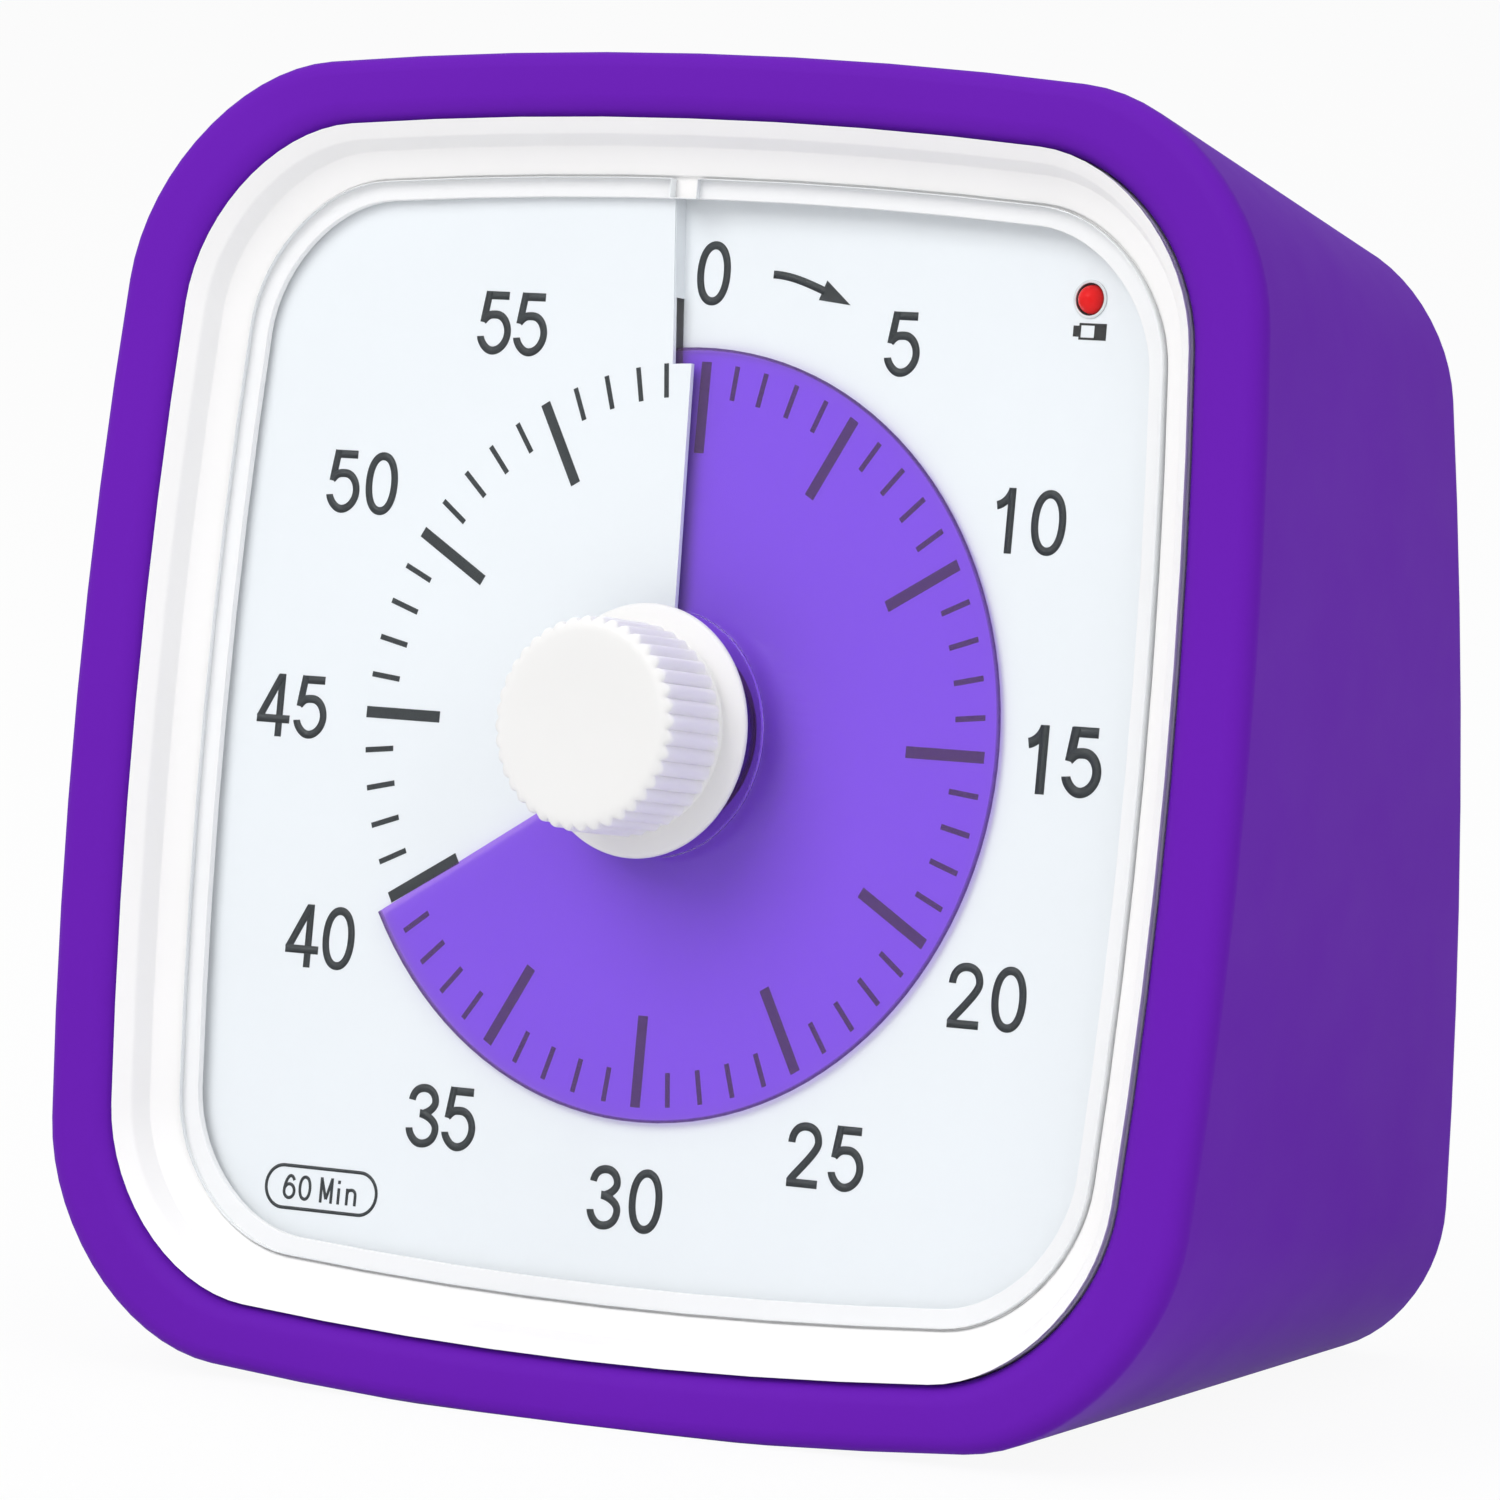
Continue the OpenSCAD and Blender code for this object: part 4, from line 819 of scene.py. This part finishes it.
# the strokes of each figure, and whether each one closes to a ring
figures = {
    "0": [([(0, 1.63, 0.56, 0), (0.92, 0, 0, -0.98), (0, -1.63, -0.56, 0), (-0.92, 0, 0, 0.98)], True)],
    "1": [([(-0.74, 0.84, 0.5, 0.10), (0.2, 1.72, 0.1, 0.36)], False),
          ([(0.22, 1.87), (0.22, -1.87)], False)],
    "2": [([(-0.92, 0.66, 0.02, 0.62), (0, 1.63, 0.54, 0), (0.90, 0.72, 0, -0.55),
            (-0.86, -1.55, -0.10, -0.28)], False),
          ([(-1.06, -1.63), (1.04, -1.63)], False)],
    "3": [([(-0.88, 0.88, 0.06, 0.48), (-0.02, 1.63, 0.48, 0), (0.80, 0.86, 0, -0.42),
            (-0.02, 0.13, -0.14, 0)], False),
          ([(-0.26, 0.13, 0.3, 0), (0.94, -0.72, 0, -0.55), (-0.02, -1.63, -0.55, 0),
            (-0.94, -0.76, -0.02, 0.30)], False)],
    "4": [([(0.42, 1.87), (0.42, -1.87)], False),
          ([(0.36, 1.74), (-1.04, -0.80)], False),
          ([(-1.22, -0.82), (1.18, -0.82)], False)],
    "5": [([(-0.76, 1.63), (0.88, 1.63)], False),
          ([(-0.54, 1.85), (-0.82, 0.02)], False),
          ([(-0.84, 0.10, 0.36, 0.36), (0.06, 0.50, 0.5, 0), (0.96, -0.55, 0, -0.58),
            (-0.04, -1.63, -0.52, 0), (-0.96, -0.80, -0.02, 0.24)], False)],
    "6": [([(0, 0.40, 0.5, 0), (0.92, -0.62, 0, -0.56), (0, -1.63, -0.5, 0), (-0.92, -0.62, 0, 0.56)], True),
          ([(-0.92, -0.62, 0, 0.9), (0.1, 1.62, 0.5, 0.02), (0.82, 1.0, 0.1, -0.2)], False)],
    "M": [([(-0.95, -1.87), (-0.95, 1.87)], False),
          ([(-0.95, 1.75), (0, -1.3)], False),
          ([(0, -1.3), (0.95, 1.75)], False),
          ([(0.95, 1.87), (0.95, -1.87)], False)],
    "i": [([(0, -1.87), (0, 0.52)], False),
          ([(0, 1.15), (0, 1.65)], False)],
    "n": [([(-0.75, -1.87), (-0.75, 0.60)], False),
          ([(-0.75, -0.2, 0.1, 0.45), (0.05, 0.42, 0.5, 0), (0.75, -0.35, 0, -0.4),
            (0.75, -1.87, 0, -0.3)], False)],
}
drawnFigures = {}


def drawFigure(letter, size, pen):
    # a figure is drawn once in each size, and copied after that
    key = (letter, size, pen)
    if key in drawnFigures:
        return [copyOf(stroke) for stroke in drawnFigures[key]]
    drawnFigures[key] = []
    for points, closed in figures[letter]:
        scaled = [tuple(value * size for value in point) for point in points]
        drawnFigures[key].append(drawStroke(scaled, pen, closed))
    return drawnFigures[key]


def writeFigures(word, x, y, places, size, pen):
    strokes = []
    for letter, shift in zip(word, places):
        for step, stroke in enumerate(drawFigure(letter, size, pen)):
            stroke.location = (x + shift, y, step * inkShape["lift"])
            strokes.append(stroke)
    return strokes


def inkBar(left, right, low, high):
    bpy.ops.mesh.primitive_cube_add(size=1)
    bar = bpy.context.object
    bar.scale = (right - left, high - low, inkShape["thickness"] + inkShape["sink"])
    middle = (inkShape["thickness"] - inkShape["sink"]) / 2
    bar.location = ((left + right) / 2, (low + high) / 2, middle)
    return settle(bar)


def layOnDial(piece):
    # drops flat marks, drawn in mm on the face, onto the dial sheet
    settle(piece)
    for vertex in piece.data.vertices:
        x, y = onDial(vertex.co.x, vertex.co.y)
        height = dialHeight(x, y) + vertex.co.z
        vertex.co = faceMatrix @ (Vector((x, y, height)) * mm)


numeralShape = {
    "radius": 27.0,          # circle through the middles of the numerals, mm
    "centre": (-0.1, 0.0),
    "single": 0.3,           # a figure on its own stands this far to the right
    "gaps": {"10": 2.8, "15": 2.9, "20": 2.94, "25": 2.9, "30": 2.88,
             "35": 2.6, "40": 2.6, "45": 2.68, "50": 2.78, "55": 2.6},
    "bold": {"15": (1.05, 0.60)},     # size and pen of the one numeral that is printed heavier
    "nudge": {"0": (0.0, -0.2), "5": (-0.06, -0.18), "10": (-0.16, 0.0), "15": (-0.16, 0.14),
              "55": (-0.08, -0.06)},
}
marks = []
centreX, centreY = numeralShape["centre"]
for minute in range(0, 60, 5):
    word = str(minute)
    turn = math.radians(minute * 6)
    moveX, moveY = numeralShape["nudge"].get(word, (0, 0))
    x = centreX + numeralShape["radius"] * math.sin(turn) + moveX
    y = centreY + numeralShape["radius"] * math.cos(turn) + moveY
    gap = numeralShape["gaps"].get(word, 0)
    places = [-gap / 2, gap / 2] if gap else [numeralShape["single"]]
    size, pen = numeralShape["bold"].get(word, (1.0, inkShape["pen"]))
    marks += writeFigures(word, x, y, places, size, pen)
print("numerals drawn")

tickShape = {
    "short": (19.6, 21.6, 0.32),             # from, to, width, mm
    "long": (16.35, 21.65, 0.67),
    "aside": {59: -0.28, 0: 0.28, 1: 0.2},   # marks beside the slit stand clear of it, mm
}
ticks = {}
for kind in ("short", "long"):
    low, high, width = tickShape[kind]
    ticks[kind] = inkBar(-width / 2, width / 2, low, high)
for minute in range(60):
    tick = copyOf(ticks["short" if minute % 5 else "long"])
    aside = Matrix.Translation((tickShape["aside"].get(minute, 0), 0, 0))
    tick.matrix_world = Matrix.Rotation(-math.radians(minute * 6), 4, "Z") @ aside
    marks.append(tick)
for tick in ticks.values():
    bpy.data.objects.remove(tick)
print("minute marks drawn")

arrowShape = {
    "from": (4.36, 26.88),
    "to": (8.0, 26.04),
    "droop": -0.42,         # the shaft heads down at its end
    "width": 0.46,
    "tip": (9.84, 25.30),
    "head": 0.62,           # half the width of the head, mm
    "overlap": 0.15,
}
(x0, y0), (x1, y1) = arrowShape["from"], arrowShape["to"]
reach = (x1 - x0) / 3
marks.append(drawStroke([(x0, y0, reach, 0), (x1, y1, reach, arrowShape["droop"])], arrowShape["width"]))
tipX, tipY = arrowShape["tip"]
along = Vector((tipX - x1, tipY - y1)).normalized()
across = Vector((-along.y, along.x)) * arrowShape["head"]
base = Vector((x1, y1)) - along * arrowShape["overlap"]
corners = [Vector((tipX, tipY)), base + across, base - across]
bpy.ops.mesh.primitive_cylinder_add(vertices=3, radius=1, depth=1)
head = bpy.context.object
for vertex in head.data.vertices:
    nearest = corners[round(math.degrees(math.atan2(vertex.co.x, vertex.co.y)) / 120) % 3]
    vertex.co = (nearest.x, nearest.y, inkShape["thickness"] if vertex.co.z > 0 else -inkShape["sink"])
marks.append(head)

capsuleShape = {
    "left": -25.8,
    "right": -17.75,
    "low": -29.6,
    "high": -27.1,
    "bow": 0.55,             # length of the handles that round its ends, against their radius
    "line": 0.2,
    "letters": 0.40,         # size against the numerals
    "pen": 0.19,
    "places": [-2.32, -1.18, 0.39, 1.29, 2.21],
}
left, right, low, high = (capsuleShape[side] for side in ("left", "right", "low", "high"))
radius, middle = (high - low) / 2, (low + high) / 2
bow = radius * capsuleShape["bow"]
marks.append(drawStroke([
    (left + radius, high, bow, 0), (right - radius, high, bow, 0), (right, middle, 0, -bow),
    (right - radius, low, -bow, 0), (left + radius, low, -bow, 0), (left, middle, 0, bow),
], capsuleShape["line"], closed=True))
marks += writeFigures("60Min", (left + right) / 2, middle, capsuleShape["places"],
                      capsuleShape["letters"], capsuleShape["pen"])

dialMarks = joinAll(marks, "dialMarks")
only(dialMarks)
bpy.ops.object.mode_set(mode="EDIT")
bpy.ops.mesh.select_all(action="SELECT")
bpy.ops.mesh.normals_make_consistent(inside=False)
bpy.ops.object.mode_set(mode="OBJECT")
layOnDial(dialMarks)
finishPiece(dialMarks, inkGrey, "timer_case", "dial_print")
print("arrow and capsule drawn")

iconShape = {
    "at": (26.1, 24.42),
    "wide": 2.2,
    "tall": 0.95,
    "line": 0.13,
    "button": 0.38,          # length of the cell's button, mm
    "buttonTall": 0.33,      # half its height, against the height of the cell
    "overlap": 0.01,
    "full": 0.80,            # length of the filled end, mm
}
x, y = iconShape["at"]
halfWide, halfTall, line = iconShape["wide"] / 2, iconShape["tall"] / 2, iconShape["line"]
buttonHigh = iconShape["tall"] * iconShape["buttonTall"]
shell = iconShape["button"] - halfWide
full = halfWide - iconShape["full"]
bars = []
for left, right, low, high in [
    (-halfWide, shell + iconShape["overlap"], -buttonHigh, buttonHigh),
    (shell, shell + line, -halfTall, halfTall),
    (shell + line, full, halfTall - line, halfTall),
    (shell + line, full, -halfTall, line - halfTall),
    (full, halfWide, -halfTall, halfTall),
]:
    bars.append(inkBar(x + left, x + right, y + low, y + high))
batteryIcon = joinAll(bars, "batteryIcon")
layOnDial(batteryIcon)
finishPiece(batteryIcon, iconBlack, "timer_case", "dial_print")
for tip in penTips.values():
    bpy.data.objects.remove(tip)
print("battery sign drawn")


# film

filmShape = {
    "edgeBack": 1.4,        # the leading edge lies just behind the mark, degrees
    "smoothAngle": 20,
}
film = copyNode("film_disc", "filmDisc")
turnBack = Matrix.Rotation(math.radians(filmShape["edgeBack"]), 4, outOfFace)
film.matrix_world = Matrix.Translation(dialCentre) @ turnBack @ Matrix.Translation(-dialCentre)
settle(film)
smooth(film, filmShape["smoothAngle"])
finishPiece(film, purpleFilm, "film", "purple_film", "film_disc")
print("film made")


# knob

knobShape = {
    "ribs": 40,
    "perRib": 6,
    "plump": 0.75,         # below 1 the ribs are fuller, above 1 they are more pointed
    "grip": 6.2,           # radius over the ribs, mm
    "groove": 5.82,
    "flange": 7.38,
    "flangeTop": 3.4,
    "flangeBottom": 2.85,
    "stem": 3.5,
    "stemBottom": -2.78,
    "underEdge": [(-0.5, 0), (-0.04, 0.22), (0, 0.28)],       # out from the flange, up from its underside
    "overEdge": [(0, -0.22), (-0.06, -0.07), (-0.22, 0)],     # out from the flange, up from its top
    "neck": [(0.16, 0), (0.03, 0.05), (0, 0.18), (0, 0.30)],  # out from the grooves, up from the flange
    "point": 0.55,         # length over which a rib runs out to a point
    "pointShares": (0.25, 0.5, 0.75, 1),
    "cap": 9.3,
    "capRound": 0.9,
    "capRise": 0.5,        # height of the rounded edge
    "capSteps": 6,
    "ribsEnd": 1.35,       # above 1 the ribs end before the top of the rounded edge
    "ribsTop": 0.35,       # the last full ring of ribs lies this far below the rounded edge
    "crown": [(1.4, 0.004), (3.4, 0.012)],   # the cap sinks a little towards its middle
    "smoothAngle": 50,
}


def knobRing(radius, height, ribShare):
    # one ring of points round the knob; ribShare 1 shows the full ribs and 0 a smooth circle
    shape = knobShape
    count = shape["ribs"] * shape["perRib"]
    ring = []
    for step in range(count):
        phase = (step % shape["perRib"]) / shape["perRib"]
        swell = math.sin(math.pi * phase) ** shape["plump"]
        reach = radius - (shape["grip"] - shape["groove"]) * ribShare * (1 - swell)
        turn = 2 * math.pi * step / count
        ring.append(Vector((reach * math.cos(turn), reach * math.sin(turn), height)))
    return ring


def stackRings(name, rings):
    # a circle is extruded up through the rings, and each ring is then set to its own outline
    bpy.ops.mesh.primitive_circle_add(vertices=len(rings[0]), radius=rings[0][0].length, fill_type="NGON")
    piece = bpy.context.object
    piece.name = name
    bpy.ops.object.mode_set(mode="EDIT")
    bpy.ops.mesh.select_all(action="SELECT")
    for ring in rings[1:]:
        bpy.ops.mesh.extrude_region_move(TRANSFORM_OT_translate={"value": (0, 0, 1)})
    bpy.ops.object.mode_set(mode="OBJECT")
    for vertex in piece.data.vertices:
        ring = rings[round(vertex.co.z)]
        turn = math.atan2(vertex.co.y, vertex.co.x) % (2 * math.pi)
        vertex.co = ring[round(turn / (2 * math.pi) * len(ring)) % len(ring)]
    return piece


k = knobShape
outline = [(k["stem"], k["stemBottom"]), (k["stem"], k["flangeBottom"])]
outline += [(k["flange"] + out, k["flangeBottom"] + up) for out, up in k["underEdge"]]
outline += [(k["flange"] + out, k["flangeTop"] + up) for out, up in k["overEdge"]]
outline += [(k["groove"] + out, k["flangeTop"] + up) for out, up in k["neck"]]
knobRings = [knobRing(radius, height, 0) for radius, height in outline]
ribsFrom = outline[-1][1]
for share in k["pointShares"]:
    radius = k["groove"] + (k["grip"] - k["groove"]) * share
    knobRings.append(knobRing(radius, ribsFrom + k["point"] * share, share))
roundFrom = k["cap"] - k["capRise"]
knobRings.append(knobRing(k["grip"], roundFrom - k["ribsTop"], 1))
for step in range(k["capSteps"] + 1):
    turn = math.radians(90 * step / k["capSteps"])
    radius = k["grip"] - k["capRound"] * (1 - math.cos(turn))
    ribShare = 1 - min(1, k["ribsEnd"] * step / k["capSteps"])
    knobRings.append(knobRing(radius, roundFrom + k["capRise"] * math.sin(turn), ribShare))
for inwards, down in k["crown"]:
    knobRings.append(knobRing(k["grip"] - k["capRound"] - inwards, k["cap"] - down, 0))
knobPiece = stackRings("ribbedKnob", knobRings)
toFace(knobPiece)
smooth(knobPiece, knobShape["smoothAngle"])
finishPiece(knobPiece, knobPlastic, "knob", "knob_plastic", "knob")
print("knob made")


# back, door and switch

backShape = {
    "backCase": {"node": "rear_housing", "body": "timer_case", "slot": "white_plastic",
                 "finish": backPlastic, "edgeRound": 0.15, "smoothAngle": 30},
    "cellDoor": {"node": "battery_door", "body": "battery_door", "slot": "white_plastic",
                 "finish": backPlastic, "edgeRound": 0.15, "smoothAngle": 30},
    "volumeSlider": {"node": "volume_switch_knob", "body": "volume_switch", "slot": "switch_black",
                     "finish": switchBlack, "edgeRound": 0.12, "smoothAngle": 30},
}
for name, shape in backShape.items():
    piece = copyNode(shape["node"], name)
    softEdges(piece, shape["edgeRound"])
    smooth(piece, shape["smoothAngle"])
    finishPiece(piece, shape["finish"], shape["body"], shape["slot"], shape["node"])
print("back made")


# pieces that stay as they are and only get their finish

innerFinish = [
    (chassisPlastic, ["chassis_plate"]),
    (screwSteel, ["housing_screws", "movement_screws", "board_screws"]),
    (hubPlastic, ["film_hub"]),
    (spindleSteel, ["spindle"]),
    (contactBrass, ["zero_wiper", "clutch_spring"]),
    (movementPlastic, ["movement_front_case", "movement_rear_case"]),
    (gearPlastic, ["hour_wheel", "third_wheel", "seconds_wheel", "intermediate_wheel", "rotor_pinion"]),
    (magnetFerrite, ["rotor_magnet"]),
    (statorSteel, ["stator", "coil_core"]),
    (bobbinPlastic, ["coil_bobbin"]),
    (copperWinding, ["coil_winding"]),
    (circuitBoard, ["movement_board", "alarm_board", "led_board"]),
    (canSteel, ["quartz_crystal"]),
    (chipEpoxy, ["timer_chip", "alarm_chip"]),
    (capacitorSleeve, ["capacitor"]),
    (buzzerBlack, ["buzzer"]),
    (switchSteel, ["volume_switch_body"]),
    (contactSteel, ["battery_contact", "battery_spring"]),
    (cellSleeve, ["aa_cell"]),
    (redWire, ["battery_leads"]),
    (greyWire, ["led_leads"]),
    (yellowWire, ["movement_leads"]),
]
for material, names in innerFinish:
    for name in names:
        for place in frame["nodes"][name].material_slots:
            place.material = material
print("inner pieces finished")


# floor, backdrop and light

stageLook = {
    "size": 6.0,
    "floor": (0.80, 0.80, 0.80, 1),
    "roughness": 0.9,
    "specular": 0.1,
    "seen": 0.93,                      # how near the floor looks to pure white
    "air": (0.97, 0.98, 1.0, 1),       # soft light from all round
    "airStrength": 0.61,
    "background": (1, 1, 1, 1),
}
bpy.ops.mesh.primitive_plane_add(size=stageLook["size"], location=(0, 0, 0))
floor = bpy.context.object
floor.name = "studioFloor"
floorMaterial, nodes, links, shader = newMaterial("studioFloor")
shader.inputs["Base Color"].default_value = stageLook["floor"]
shader.inputs["Roughness"].default_value = stageLook["roughness"]
shader.inputs["Specular IOR Level"].default_value = stageLook["specular"]
glow = nodes.new("ShaderNodeEmission")
glow.inputs["Strength"].default_value = 1
amount = nodes.new("ShaderNodeMath")
amount.operation = "MULTIPLY"
amount.inputs[1].default_value = stageLook["seen"]
links.new(anyRay(nodes, links, "Is Camera Ray", "Is Glossy Ray", "Is Transmission Ray"), amount.inputs[0])
mix = mixInto(nodes, links, shader.outputs["BSDF"], glow.outputs["Emission"], "Material Output")
links.new(amount.outputs["Value"], mix.inputs["Fac"])
floor.data.materials.append(floorMaterial)

world = bpy.data.worlds.new("studioAir")
bpy.context.scene.world = world
world.use_nodes = True
nodes, links = world.node_tree.nodes, world.node_tree.links
air = nodes["Background"]
air.inputs["Color"].default_value = stageLook["air"]
air.inputs["Strength"].default_value = stageLook["airStrength"]
bright = nodes.new("ShaderNodeBackground")
bright.inputs["Color"].default_value = stageLook["background"]
bright.inputs["Strength"].default_value = 1
mix = mixInto(nodes, links, air.outputs["Background"], bright.outputs["Background"], "World Output")
links.new(anyRay(nodes, links, "Is Camera Ray"), mix.inputs["Fac"])

lamps = {
    "keyLamp": {"at": (-0.30, -0.80, 0.80), "size": 0.7, "watts": 6.0, "colour": (1, 0.985, 0.965)},
    "sideLamp": {"at": (0.85, -0.35, 0.45), "size": 0.6, "watts": 1.2, "colour": (0.96, 0.98, 1)},
    "topLamp": {"at": (0.05, 0.15, 1.0), "size": 0.8, "watts": 2.3, "colour": (1, 1, 1)},
}
lampAim = Vector((0, 0, 0.04))
for name, look in lamps.items():
    bpy.ops.object.light_add(type="AREA", location=look["at"])
    lamp = bpy.context.object
    lamp.name = name
    lamp.data.energy = look["watts"]
    lamp.data.size = look["size"]
    lamp.data.color = look["colour"]
    lamp.rotation_euler = (lampAim - Vector(look["at"])).to_track_quat("-Z", "Y").to_euler()
print("stage lit")


# camera

cameraShape = {
    "right": (0.8284, 0.0909, -0.5528),      # the camera's own directions in the face frame
    "down": (0.0627, -0.9956, -0.0697),
    "ahead": (-0.5567, 0.0231, -0.8304),
    "lens": 235.956,
    "sensor": 36,
    "clip": (0.01, 20),
}
bpy.ops.object.camera_add()
camera = bpy.context.object
right, down, ahead = (Vector(cameraShape[side]) for side in ("right", "down", "ahead"))
turn = Matrix((right, -down, -ahead)).transposed()
camera.matrix_world = faceMatrix @ Matrix.Translation(eyeFromDial * mm) @ turn.to_4x4()
camera.data.sensor_width = cameraShape["sensor"]
camera.data.lens = cameraShape["lens"]
camera.data.clip_start, camera.data.clip_end = cameraShape["clip"]
bpy.context.scene.camera = camera
bpy.context.scene.view_settings.view_transform = "Standard"
print("camera set")
